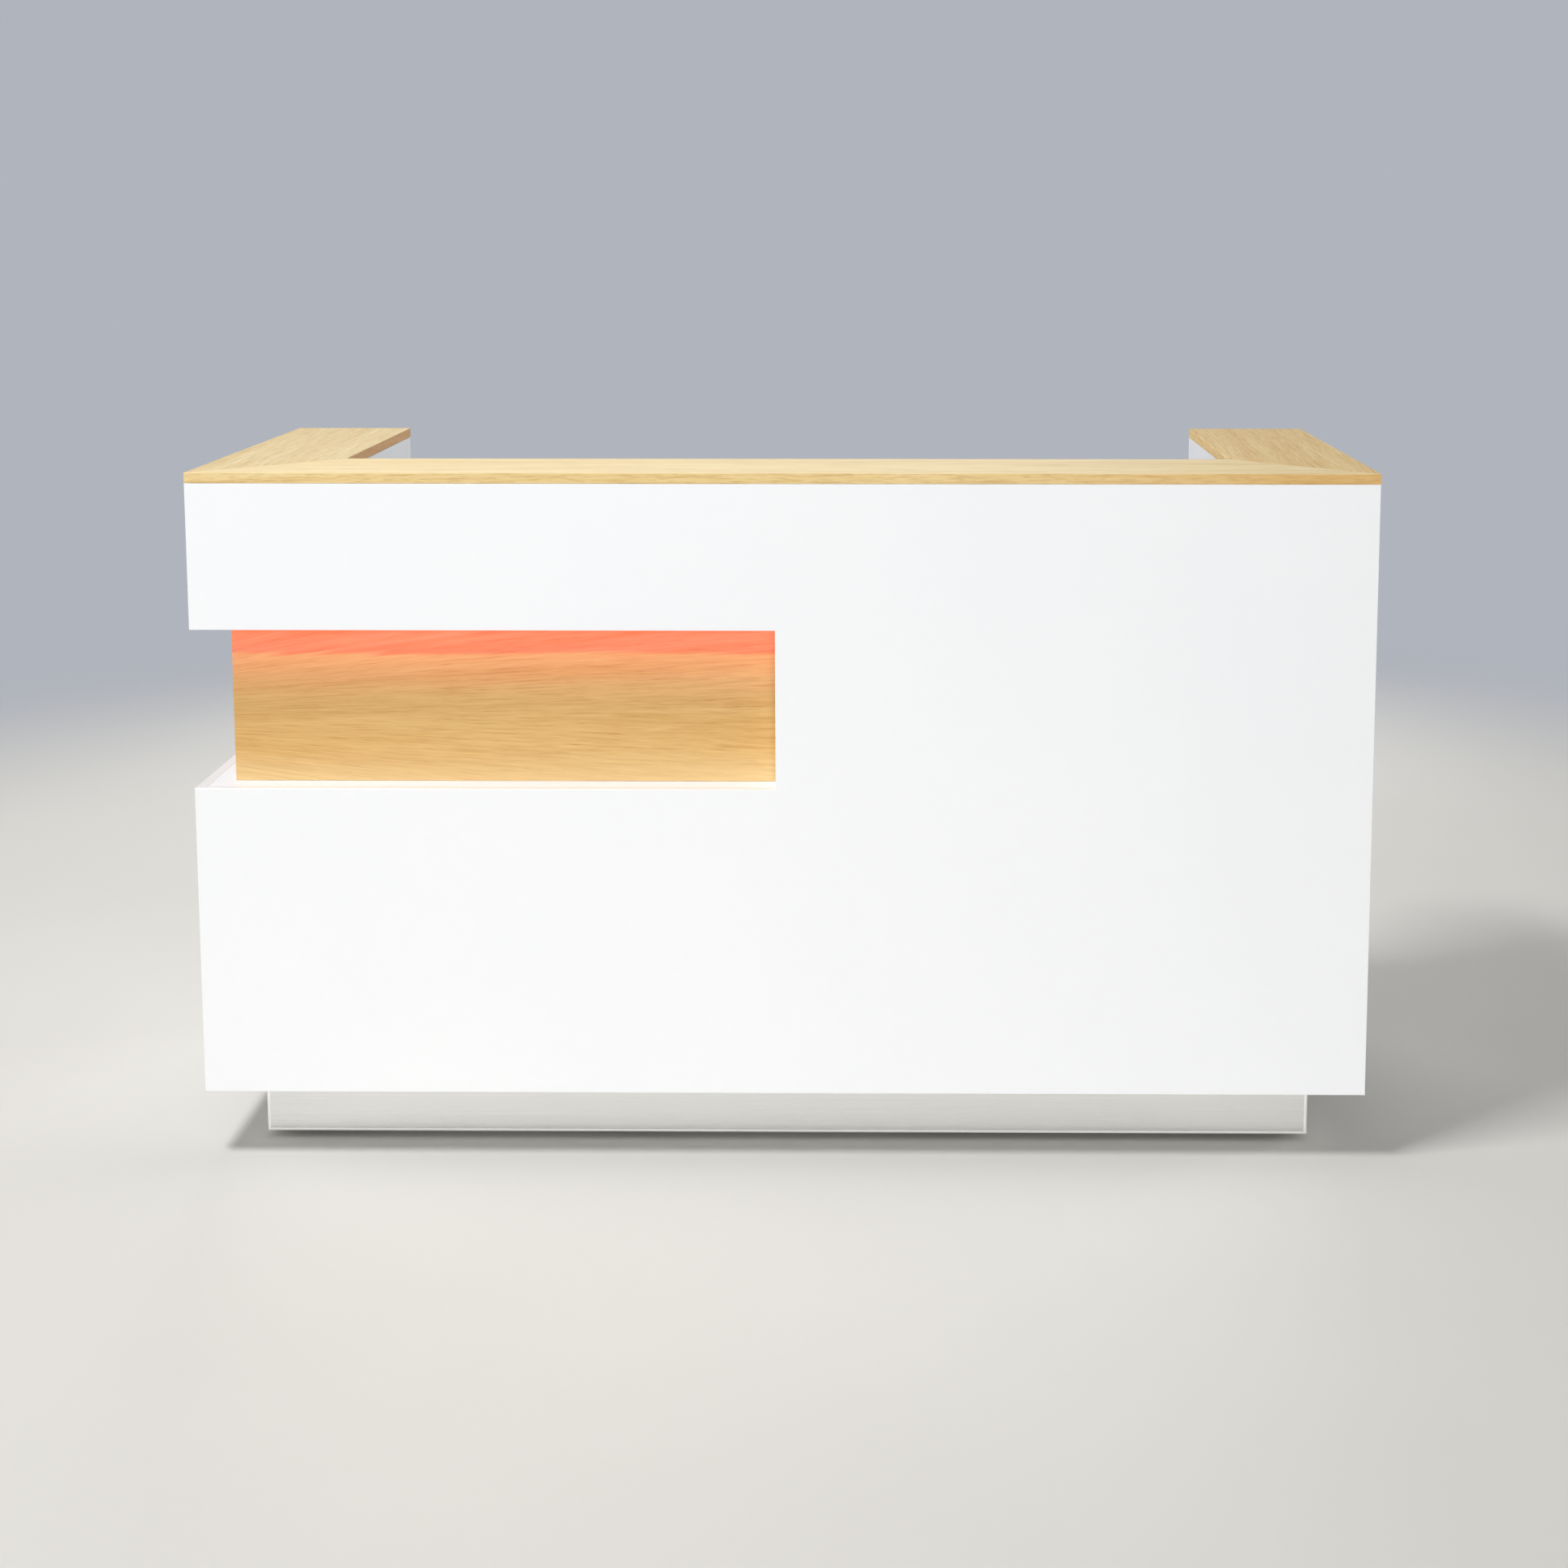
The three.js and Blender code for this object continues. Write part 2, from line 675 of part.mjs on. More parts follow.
// A bow handle cut from flat bar: two posts and a rounded bridge, with room for fingers behind it.
function handleGeometry() {
  const half = handleLength / 2;
  const innerRadius = handleRadius - handleBar;
  const inner = half - handleBar;
  const shape = new THREE.Shape();
  shape.moveTo(-half, 0);
  shape.lineTo(-inner, 0);
  shape.lineTo(-inner, handleReach - handleBar - innerRadius);
  shape.absarc(-half + handleRadius, handleReach - handleRadius, innerRadius, Math.PI, Math.PI / 2, true);
  shape.absarc(half - handleRadius, handleReach - handleRadius, innerRadius, Math.PI / 2, 0, true);
  shape.lineTo(inner, 0);
  shape.lineTo(half, 0);
  shape.absarc(half - handleRadius, handleReach - handleRadius, handleRadius, 0, Math.PI / 2);
  shape.absarc(-half + handleRadius, handleReach - handleRadius, handleRadius, Math.PI / 2, Math.PI);
  return prism(shape, handleWidth, edgeEase, ARC_STEPS).translate(0, 0, -handleWidth / 2);
}

// The sections of the three nested slide members, measured inwards from the cabinet face.
function slideSections() {
  const half = slideHeight / 2;
  const middleHalf = half - slideGauge - slideRun;
  const innerHalf = middleHalf - slideGauge - slideRun;
  const middleWeb = seam + slideGauge + slideRun;
  const innerStart = middleWeb + slideGauge + slideRun;
  const lipStart = slideMouth - slideGauge;
  const lipTip = half - slideGauge - slideLip;
  const drawerSide = slideThickness - seam;
  const upperOuter = [
    [seam + slideGauge, half - slideGauge],
    [lipStart, half - slideGauge],
    [lipStart, lipTip],
    [slideMouth, lipTip],
    [slideMouth, half],
    [seam, half],
  ];
  const upperMiddle = [
    [middleWeb + slideGauge, middleHalf - slideGauge],
    [lipStart - slideRun, middleHalf - slideGauge],
    [lipStart - slideRun, middleHalf],
    [middleWeb, middleHalf],
  ];
  const upperInner = [
    [drawerSide - slideGauge, innerHalf - slideGauge],
    [innerStart, innerHalf - slideGauge],
    [innerStart, innerHalf],
    [drawerSide, innerHalf],
  ];
  const withMirror = (upper) => [...upper, ...upper.map(([u, v]) => [u, -v]).reverse()];
  return { outer: withMirror(upperOuter), middle: withMirror(upperMiddle), inner: withMirror(upperInner) };
}

// Left and right slides of one drawer, each of three members that run inside one another.
function makeSlidePair(name, rise) {
  const sides = { left: (u) => pedestalInnerX + u, right: (u) => innerRightX - u };
  const run = [slideBackY, slideFrontY];
  const meshes = [];
  for (const [side, toX] of Object.entries(sides)) {
    for (const [member, section] of Object.entries(slideSections())) {
      const outline = section.map(([u, v]) => [toX(u), rise + v]);
      meshes.push(faceBoard(`${name}_slide_${side}_${member}`, outline, run, zincSteel, 0));
    }
  }
  return meshes;
}

function makeDrawers() {
  const top = worktopBottom - frontGap;
  const boxBottom = top - boxFrontHeight;
  return [
    ...makeDrawer("box_drawer", boxBottom, top, boxDrawerHeight),
    ...makeDrawer("file_drawer", pedestalRise, boxBottom - frontGap, fileDrawerHeight),
  ];
}

function groupOf(name, meshes) {
  const group = new THREE.Group();
  group.name = name;
  group.add(...meshes);
  return group;
}

const desk = new THREE.Group();
desk.add(
  groupOf("counter_group", makeCounter()),
  groupOf("outer_skin_group", makeOuterSkin()),
  groupOf("inner_lining_group", makeInnerLining()),
  groupOf("recess_group", makeRecess()),
  groupOf("light_group", makeLight()),
  groupOf("base_group", [...makeBase(), ...makeLegs()]),
  groupOf("worktop_group", makeWorktop()),
  groupOf("pedestal_group", [...makePedestal(), ...makeDrawers()]),
);

export default desk;
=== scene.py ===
"""Looks of a U-shaped reception desk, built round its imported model.

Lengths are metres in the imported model's frame: X runs to the visitor's right, Y to the staff side, Z up.
"""

import logging
import math
from abc import ABC, abstractmethod
from collections.abc import Iterable, Mapping, Sequence
from dataclasses import dataclass
from enum import Enum
from typing import Any

import bmesh
import bpy
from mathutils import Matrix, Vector


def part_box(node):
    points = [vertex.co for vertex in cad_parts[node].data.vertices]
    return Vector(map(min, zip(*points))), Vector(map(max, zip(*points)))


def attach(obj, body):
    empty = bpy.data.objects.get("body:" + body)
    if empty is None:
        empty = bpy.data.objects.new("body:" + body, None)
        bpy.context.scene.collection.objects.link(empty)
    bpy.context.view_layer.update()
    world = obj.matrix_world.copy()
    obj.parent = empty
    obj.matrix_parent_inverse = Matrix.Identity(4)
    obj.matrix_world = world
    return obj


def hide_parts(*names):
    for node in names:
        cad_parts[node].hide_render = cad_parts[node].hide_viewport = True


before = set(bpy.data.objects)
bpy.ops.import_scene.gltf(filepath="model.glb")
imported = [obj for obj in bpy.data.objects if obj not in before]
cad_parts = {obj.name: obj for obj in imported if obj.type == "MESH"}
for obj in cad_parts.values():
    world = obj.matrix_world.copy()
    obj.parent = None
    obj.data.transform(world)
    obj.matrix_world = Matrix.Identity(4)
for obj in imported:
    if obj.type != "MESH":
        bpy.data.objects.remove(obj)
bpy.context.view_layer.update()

LOG = logging.getLogger("reception_desk")

PHOTO_WIDTH = 1932
PHOTO_HEIGHT = 1932

WELD_DISTANCE = 1e-6
SHARP_ANGLE = math.radians(38)
CORNER_ANGLE = math.radians(50)

AXIS_X = Vector((1, 0, 0))
AXIS_Y = Vector((0, 1, 0))
AXIS_Z = Vector((0, 0, 1))

BODY_DESK = "desk"
BODY_CAP = "cable_cap"

Number = "float | Signal"
Profile = Sequence[tuple[float, float]]


class Grain(Enum):
    """The way that a board's grain or brushing runs, as a turn about the upright axis."""

    ALONG_X = 0.0
    ALONG_Y = math.pi / 2


@dataclass(frozen=True)
class Tone:
    """A colour in steps of 0 to 255, as a colour picker gives it."""

    red: int
    green: int
    blue: int

    @property
    def linear(self) -> tuple[float, float, float, float]:
        """The colour as linear light, with full alpha."""
        return (*(self._to_light(step / 255) for step in (self.red, self.green, self.blue)), 1.0)

    @staticmethod
    def _to_light(share: float) -> float:
        """Turn a share of full scale into linear light."""
        return share / 12.92 if share <= 0.04045 else ((share + 0.055) / 1.055) ** 2.4


UNLIT = Tone(0, 0, 0)


class Signal:
    """A number that varies over a surface. Arithmetic on it adds Math nodes."""

    def __init__(self, sheet: "NodeSheet", socket: bpy.types.NodeSocket) -> None:
        """Keep the sheet and the output socket."""
        self.sheet = sheet
        self.socket = socket

    def _math(self, operation: str, first: Number, second: Number) -> "Signal":
        """Join two numbers by a Math node.

        Args:
            operation: The Math node's operation.
            first: The first operand.
            second: The second operand.

        Returns:
            The node's result.
        """
        return self.sheet.signal("ShaderNodeMath", {"operation": operation}, {0: first, 1: second})

    def __add__(self, other: Number) -> "Signal":
        """Add a number."""
        return self._math("ADD", self, other)

    def __radd__(self, other: Number) -> "Signal":
        """Add to a number."""
        return self._math("ADD", other, self)

    def __sub__(self, other: Number) -> "Signal":
        """Take a number away."""
        return self._math("SUBTRACT", self, other)

    def __rsub__(self, other: Number) -> "Signal":
        """Take from a number."""
        return self._math("SUBTRACT", other, self)

    def __mul__(self, other: Number) -> "Signal":
        """Multiply by a number."""
        return self._math("MULTIPLY", self, other)

    def __rmul__(self, other: Number) -> "Signal":
        """Multiply a number."""
        return self._math("MULTIPLY", other, self)

    def __truediv__(self, other: Number) -> "Signal":
        """Divide by a number."""
        return self._math("DIVIDE", self, other)

    def __rtruediv__(self, other: Number) -> "Signal":
        """Divide a number."""
        return self._math("DIVIDE", other, self)

    def sine(self) -> "Signal":
        """The sine of the number."""
        return self._math("SINE", self, 0.0)

    def root(self) -> "Signal":
        """The square root of the number."""
        return self._math("SQRT", self, 0.0)

    def most(self, other: Number) -> "Signal":
        """The larger of two numbers."""
        return self._math("MAXIMUM", self, other)

    def rise(self, start: float, end: float) -> "Signal":
        """Step smoothly from 0 to 1.

        Args:
            start: The number at which the step leaves 0.
            end: The number at which it reaches 1, above or below start.

        Returns:
            The stepped number.
        """
        settings = {"interpolation_type": "SMOOTHSTEP"}
        return self.sheet.signal(
            "ShaderNodeMapRange", settings, {"Value": self, "From Min": start, "From Max": end}
        )


class NodeSheet:
    """A node tree that is being filled in."""

    def __init__(self, tree: bpy.types.NodeTree) -> None:
        """Take a tree and clear it."""
        self.tree = tree
        tree.nodes.clear()

    def node(
        self,
        kind: str,
        settings: Mapping[str, Any] | None = None,
        sockets: Mapping[str | int, Any] | None = None,
    ) -> bpy.types.Node:
        """Add a node.

        Args:
            kind: The node's type.
            settings: Its properties, which are set first.
            sockets: Values or links of its inputs, by name or by number.

        Returns:
            The new node.
        """
        made = self.tree.nodes.new(kind)
        for name, value in (settings or {}).items():
            setattr(made, name, value)
        for key, value in (sockets or {}).items():
            self._feed(self._shown(made.inputs, key), value)
        return made

    @staticmethod
    def _shown(sockets: Iterable[bpy.types.NodeSocket], key: str | int | None) -> bpy.types.NodeSocket:
        """Find the socket in use.

        Args:
            sockets: A node's inputs or outputs.
            key: The socket's name or number, or None for the first in use.

        Returns:
            The socket.
        """
        if isinstance(key, int):
            return sockets[key]
        return next(socket for socket in sockets if socket.enabled and key in (None, socket.name))

    def _feed(self, socket: bpy.types.NodeSocket, value: Any) -> None:
        """Link a socket or set its value.

        Args:
            socket: The input to feed.
            value: A Signal, a socket, a Tone or a plain value.
        """
        source = value.socket if isinstance(value, Signal) else value
        if isinstance(source, bpy.types.NodeSocket):
            self.tree.links.new(source, socket)
        else:
            socket.default_value = source.linear if isinstance(source, Tone) else source

    def signal(
        self,
        kind: str,
        settings: Mapping[str, Any] | None = None,
        sockets: Mapping[str | int, Any] | None = None,
        output: str | None = None,
    ) -> Signal:
        """Add a node whose output is a number.

        Args:
            kind: The node's type.
            settings: Its properties.
            sockets: Values or links of its inputs.
            output: The output's name, or None for the first.

        Returns:
            The output as a Signal.
        """
        return Signal(self, self._shown(self.node(kind, settings, sockets).outputs, output))

    def socket(
        self,
        kind: str,
        settings: Mapping[str, Any] | None = None,
        sockets: Mapping[str | int, Any] | None = None,
        output: str | None = None,
    ) -> bpy.types.NodeSocket:
        """Add a node whose output is a colour, a vector or a shader.

        Args:
            kind: The node's type.
            settings: Its properties.
            sockets: Values or links of its inputs.
            output: The output's name, or None for the first.

        Returns:
            The output socket.
        """
        return self._shown(self.node(kind, settings, sockets).outputs, output)

    def place(self) -> bpy.types.NodeSocket:
        """The point on the surface, in metres."""
        return self.socket("ShaderNodeTexCoord", output="Object")

    def along(self, grain: Grain, slide: float = 0.0) -> bpy.types.NodeSocket:
        """The point on the surface, turned so that its first axis runs with the grain.

        Args:
            grain: The grain's run.
            slide: How far the pattern is slid, so that boards differ.

        Returns:
            The turned point.
        """
        turn = {"Vector": self.place(), "Rotation": (0, 0, grain.value), "Location": (slide, slide, slide)}
        return self.socket("ShaderNodeMapping", None, turn)

    def split(self, point: bpy.types.NodeSocket) -> tuple[Signal, Signal, Signal]:
        """The three parts of a point as Signals."""
        made = self.node("ShaderNodeSeparateXYZ", None, {"Vector": point})
        return tuple(Signal(self, part) for part in made.outputs)

    def noise(
        self, point: bpy.types.NodeSocket, pitch: tuple[float, float], detail: float = 2.0, rough: float = 0.5
    ) -> Signal:
        """Cloudy noise, drawn out along the first axis.

        Args:
            point: The point to read it at.
            pitch: Waves to the metre along the first axis, and along the other two.
            detail: How many finer layers are added.
            rough: How strong the finer layers are.

        Returns:
            The noise, from 0 to 1.
        """
        stretch = {0: point, 1: (pitch[0], pitch[1], pitch[1])}
        drawn = self.socket("ShaderNodeVectorMath", {"operation": "MULTIPLY"}, stretch)
        return self.signal(
            "ShaderNodeTexNoise", None, {"Vector": drawn, "Scale": 1.0, "Detail": detail, "Roughness": rough}
        )

    def blend(self, share: Number, first: Any, second: Any) -> bpy.types.NodeSocket:
        """Mix two colours.

        Args:
            share: How much of the second colour shows.
            first: A Tone or a colour socket.
            second: A Tone or a colour socket.

        Returns:
            The mixed colour.
        """
        return self.socket("ShaderNodeMix", {"data_type": "RGBA"}, {"Factor": share, "A": first, "B": second})

    def tint(self, share: Number, colour: Any, filter_tone: Tone) -> bpy.types.NodeSocket:
        """Darken a colour as a filter does.

        Args:
            share: How much of the filter shows.
            colour: A Tone or a colour socket.
            filter_tone: The filter's tone.

        Returns:
            The filtered colour.
        """
        settings = {"data_type": "RGBA", "blend_type": "MULTIPLY"}
        return self.socket("ShaderNodeMix", settings, {"Factor": share, "A": colour, "B": filter_tone})

    def bump(self, height: Signal, depth: float, strength: float = 1.0) -> bpy.types.NodeSocket:
        """A bumped normal.

        Args:
            height: The height, from 0 to 1.
            depth: The real depth of the full height.
            strength: How much of the bump shows.

        Returns:
            The normal.
        """
        return self.socket(
            "ShaderNodeBump", None, {"Height": height, "Distance": depth, "Strength": strength}
        )

    def surface(self, sockets: Mapping[str, Any]) -> None:
        """Close the sheet with a Principled shader.

        Args:
            sockets: The shader's values and links.
        """
        shader = self.socket("ShaderNodeBsdfPrincipled", None, sockets)
        self.node("ShaderNodeOutputMaterial", None, {"Surface": shader})


class Finish(ABC):
    """A finish that lays its own nodes on a material."""

    name: str
    slot: str

    def material(self) -> bpy.types.Material:
        """The finish's material, made when it is first asked for."""
        made = bpy.data.materials.get(self.name)
        if made is None:
            made = bpy.data.materials.new(self.name)
            made.use_nodes = True
            self.lay(NodeSheet(made.node_tree))
        return made

    @abstractmethod
    def lay(self, sheet: NodeSheet) -> None:
        """Lay the finish's nodes on a sheet."""


@dataclass(frozen=True)
class WhiteLaminate(Finish):
    """White laminate: very even, with a faint cloud and a faint ripple in its gloss."""

    name: str
    dullness: float
    coat: float
    specular: float
    slot: str = "white_laminate"
    clear: Tone = Tone(250, 251, 252)
    cloudy: Tone = Tone(246, 247, 250)
    cloud_pitch: float = 2.4
    ripple_pitch: float = 210.0
    ripple_depth: float = 0.00003

    def lay(self, sheet: NodeSheet) -> None:
        """Lay the cloud, the gloss and the ripple."""
        place = sheet.place()
        cloud = sheet.noise(place, (self.cloud_pitch, self.cloud_pitch), 3.0)
        ripple = sheet.noise(place, (self.ripple_pitch, self.ripple_pitch), 1.0)
        sheet.surface({
            "Base Color": sheet.blend(cloud, self.clear, self.cloudy),
            "Roughness": self.dullness + 0.10 * cloud,
            "Specular IOR Level": self.specular,
            "Coat Weight": self.coat,
            "Coat Roughness": 0.06,
            "Normal": sheet.bump(ripple, self.ripple_depth),
        })


@dataclass(frozen=True)
class OakVeneer(Finish):
    """Light oak veneer under satin lacquer."""

    name: str
    grain: Grain
    slide: float
    slot: str = "oak"
    pale: Tone = Tone(233, 206, 146)
    honey: Tone = Tone(221, 186, 120)
    line: Tone = Tone(194, 150, 86)
    fleck: Tone = Tone(250, 230, 180)
    pore: Tone = Tone(166, 120, 64)
    line_share: float = 0.29
    fibre_share: float = 0.20
    pore_share: float = 0.42
    wander: float = 0.006
    wander_pitch: tuple[float, float] = (3.0, 9.0)
    band_pitch: tuple[float, float] = (1.2, 30.0)
    line_pitch: tuple[float, float] = (8.0, 250.0)
    fibre_pitch: tuple[float, float] = (22.0, 430.0)
    pore_pitch: tuple[float, float] = (34.0, 820.0)
    relief: float = 0.00010

    @abstractmethod
    def figured(self, sheet: NodeSheet) -> bpy.types.NodeSocket:
        """Work out where a point lies in the veneer's figure.

        Args:
            sheet: The sheet to lay nodes on.

        Returns:
            The run along the grain, the place across the growth rings, and the place along them.
        """

    def _drift(self, sheet: NodeSheet) -> Signal:
        """How far the growth rings wander from their course."""
        return (sheet.noise(sheet.along(self.grain), self.wander_pitch, 2.0) - 0.5) * self.wander

    def _lacquered(self, sheet: NodeSheet, point: bpy.types.NodeSocket) -> dict[str, Any]:
        """Work out the veneer's shader inputs.

        Args:
            sheet: The sheet to lay nodes on.
            point: The place in the tree.

        Returns:
            The Principled shader's values and links.
        """
        bands = sheet.noise(point, self.band_pitch, 3.0)
        lines = sheet.noise(point, self.line_pitch, 2.0)
        fibres = sheet.noise(point, self.fibre_pitch, 1.0)
        pores = sheet.noise(point, self.pore_pitch, 1.0).rise(0.58, 0.72)
        dark_lines = lines.rise(0.50, 0.68)
        colour = sheet.blend(bands.rise(0.25, 0.75), self.pale, self.honey)
        colour = sheet.blend(dark_lines * self.line_share, colour, self.line)
        colour = sheet.blend(lines.rise(0.46, 0.30) * self.line_share, colour, self.fleck)
        colour = sheet.blend(fibres.rise(0.52, 0.70) * self.fibre_share, colour, self.line)
        colour = sheet.blend(fibres.rise(0.48, 0.32) * self.fibre_share, colour, self.fleck)
        colour = sheet.blend(pores * dark_lines.most(0.3) * self.pore_share, colour, self.pore)
        return {
            "Base Color": colour,
            "Roughness": 0.46 + 0.16 * lines,
            "Specular IOR Level": 0.35,
            "Coat Weight": 0.08,
            "Coat Roughness": 0.25,
            "Normal": sheet.bump(fibres * 0.6 - pores * 0.6, self.relief),
        }


@dataclass(frozen=True)
class CounterOak(OakVeneer):
    """Oak veneer of the counter, with a deeper tone on its edges, partly the edge band's own tone and partly
    painted shade, as the edges get less light than the top.

    The growth rings are rings about a pith that lies a little askew to the board, so that a face shows long
    figure and an edge shows close lines.
    """

    pith: tuple[float, float] = (0.0, 0.8)
    pith_slope: float = 0.0
    cross_share: float = 0.35
    top: float = 1.092
    band_ease: tuple[float, float] = (0.0004, 0.0008)
    # The edge tone is partly the edge band's own tone and partly painted shade.
    band: Tone = Tone(212, 172, 104)
    edge_band_and_shade_share: float = 0.14
    deep: Tone = Tone(204, 138, 32)
    deepens: tuple[float, float] = (0.24, 0.95)
    deep_share: float = 0.46
    dash: Tone = Tone(178, 128, 62)
    dash_pitch: tuple[float, float] = (42.0, 420.0)
    dash_share: float = 0.24

    def figured(self, sheet: NodeSheet) -> bpy.types.NodeSocket:
        """Measure the rings from the pith."""
        run, across, up = sheet.split(sheet.along(self.grain))
        across = across - self.pith[0] - run * self.pith_slope
        up = up - self.pith[1]
        ring = (across * across + up * up).root() + self._drift(sheet)
        place = {"X": run + self.slide, "Y": ring, "Z": (across + up) * self.cross_share}
        return sheet.socket("ShaderNodeCombineXYZ", None, place)

    def lay(self, sheet: NodeSheet) -> None:
        """Lay the veneer and its edge band, partly painted shade, whose tone deepens and turns more orange
        along its run.
        """
        inputs = self._lacquered(sheet, self.figured(sheet))
        run, _, height = sheet.split(sheet.along(self.grain))
        edge = (self.top - height).rise(*self.band_ease)
        # Partly painted shade: the edges below the top take the band's deeper tone, as they get less light than
        # the top.
        colour = sheet.blend(edge * self.edge_band_and_shade_share, inputs["Base Color"], self.band)
        colour = sheet.blend(edge * run.rise(*self.deepens) * self.deep_share, colour, self.deep)
        dashes = sheet.noise(sheet.along(self.grain), self.dash_pitch, 2.0).rise(0.50, 0.66)
        inputs["Base Color"] = sheet.blend(edge * dashes * self.dash_share, colour, self.dash)
        sheet.surface(inputs)


@dataclass(frozen=True)
class LitOak(OakVeneer):
    """Oak veneer of the recess, with the light line's glow painted on it as emission, a painted shade under the
    soffit and painted bounce light above the ledge.

    Its streaks fan out along the run from a level line.
    """

    level: float = 0.70
    fan: float = 1.0
    fan_start: float = 0.0
    pale: Tone = Tone(231, 190, 124)
    honey: Tone = Tone(222, 175, 107)
    line: Tone = Tone(194, 138, 68)
    fleck: Tone = Tone(243, 204, 138)
    pore: Tone = Tone(174, 114, 52)
    line_pitch: tuple[float, float] = (11.0, 310.0)
    fibre_pitch: tuple[float, float] = (26.0, 540.0)
    glow_pitch: tuple[float, float] = (3.0, 150.0)
    lamp_height: float = 0.848
    crest_depth: tuple[float, float] = (0.018, 0.011)
    band_depth: tuple[float, float] = (0.050, 0.042)
    halo_depth: tuple[float, float] = (0.140, 0.026)
    ledge_bounce_depth: tuple[float, float] = (0.19, 0.25)
    wave: float = 0.012
    wave_pitch: tuple[float, float] = (2.5, 14.0)
    fray: float = 0.020
    # Painted shade: a filter that darkens the band under the soffit, where the soffit shades the oak.
    shade: Tone = Tone(216, 196, 208)
    # Painted light: a paler, yellower tone near the ledge, standing in for light bounced up from the white
    # ledge.
    foot: Tone = Tone(240, 216, 168)
    ledge_bounce_share: float = 0.40
    # Painted light: the light line's red glow, which the oak itself emits, with its crest, band and halo.
    crest_glow: Tone = Tone(255, 66, 62)
    deep_glow: Tone = Tone(255, 82, 74)
    pale_glow: Tone = Tone(255, 112, 106)
    soft_glow: Tone = Tone(255, 106, 108)
    halo_share: float = 0.65
    glow_strength: float = 0.52

    def figured(self, sheet: NodeSheet) -> bpy.types.NodeSocket:
        """Spread the streaks along the run."""
        run, across, up = sheet.split(sheet.along(self.grain))
        spread = 1.0 + self.fan * (run - self.fan_start)
        place = {"X": run + self.slide, "Y": (up - self.level) / spread + self._drift(sheet), "Z": across}
        return sheet.socket("ShaderNodeCombineXYZ", None, place)

    def lay(self, sheet: NodeSheet) -> None:
        """Lay the veneer, the light line's glow painted on as emission, a painted shade in the band under the
        soffit and painted bounce light on the foot above the ledge.
        """
        point = self.figured(sheet)
        inputs = self._lacquered(sheet, point)
        streaks = sheet.noise(point, self.glow_pitch, 3.0)
        waves = sheet.noise(point, self.wave_pitch, 1.0)
        _, _, height = sheet.split(sheet.place())
        depth = self.lamp_height - height + self.wave * (waves - 0.5) + self.fray * (streaks - 0.5)
        band = depth.rise(*self.band_depth)
        # Painted shade: the band under the light line is darkened, standing in for the soffit's shadow.
        shaded = sheet.tint(band, inputs["Base Color"], self.shade)
        # Painted light: the oak pales towards the ledge, standing in for bounce light from it.
        painted_ledge_bounce = depth.rise(*self.ledge_bounce_depth) * self.ledge_bounce_share
        inputs["Base Color"] = sheet.blend(painted_ledge_bounce, shaded, self.foot)
        # Painted light: the oak emits the light line's glow, strongest in the band under the line and fading
        # through a softer halo.
        halo = depth.rise(*self.halo_depth) * self.halo_share
        glow = sheet.blend(streaks.rise(0.36, 0.64), self.deep_glow, self.pale_glow)
        glow = sheet.blend(depth.rise(*self.crest_depth), glow, self.crest_glow)
        inputs["Emission Color"] = sheet.blend(band, sheet.blend(halo, UNLIT, self.soft_glow), glow)
        inputs["Emission Strength"] = self.glow_strength
        sheet.surface(inputs)


@dataclass(frozen=True)
class BrushedAluminium(Finish):
    """Anodised aluminium with a fine straight brush."""

    name: str
    grain: Grain
    slot: str = "brushed_aluminium"
    bright: Tone = Tone(233, 231, 230)
    dull: Tone = Tone(220, 218, 217)
    brush_pitch: tuple[float, float] = (1.4, 900.0)
    hair_pitch: tuple[float, float] = (12.0, 2600.0)
    dullness: tuple[float, float] = (0.10, 0.20)
    relief: float = 0.00001

    def lay(self, sheet: NodeSheet) -> None:
        """Lay the brushing and the metal."""
        sheet.surface(self._brushed(sheet))

    def _brushed(self, sheet: NodeSheet) -> dict[str, Any]:
        """Work out the metal's shader inputs.

        Args:
            sheet: The sheet to lay nodes on.

        Returns:
            The Principled shader's values and links.
        """
        point = sheet.along(self.grain)
        brush = sheet.noise(point, self.brush_pitch, 3.0, 0.6)
        hair = sheet.noise(point, self.hair_pitch, 1.0)
        stroke = 0.65 * brush + 0.35 * hair
        smooth, rough = self.dullness
        return {
            "Base Color": sheet.blend(stroke.rise(0.30, 0.70), self.dull, self.bright),
            "Metallic": 1.0,
            "Roughness": smooth + (rough - smooth) * stroke,
            "Normal": sheet.bump(stroke, self.relief),
        }


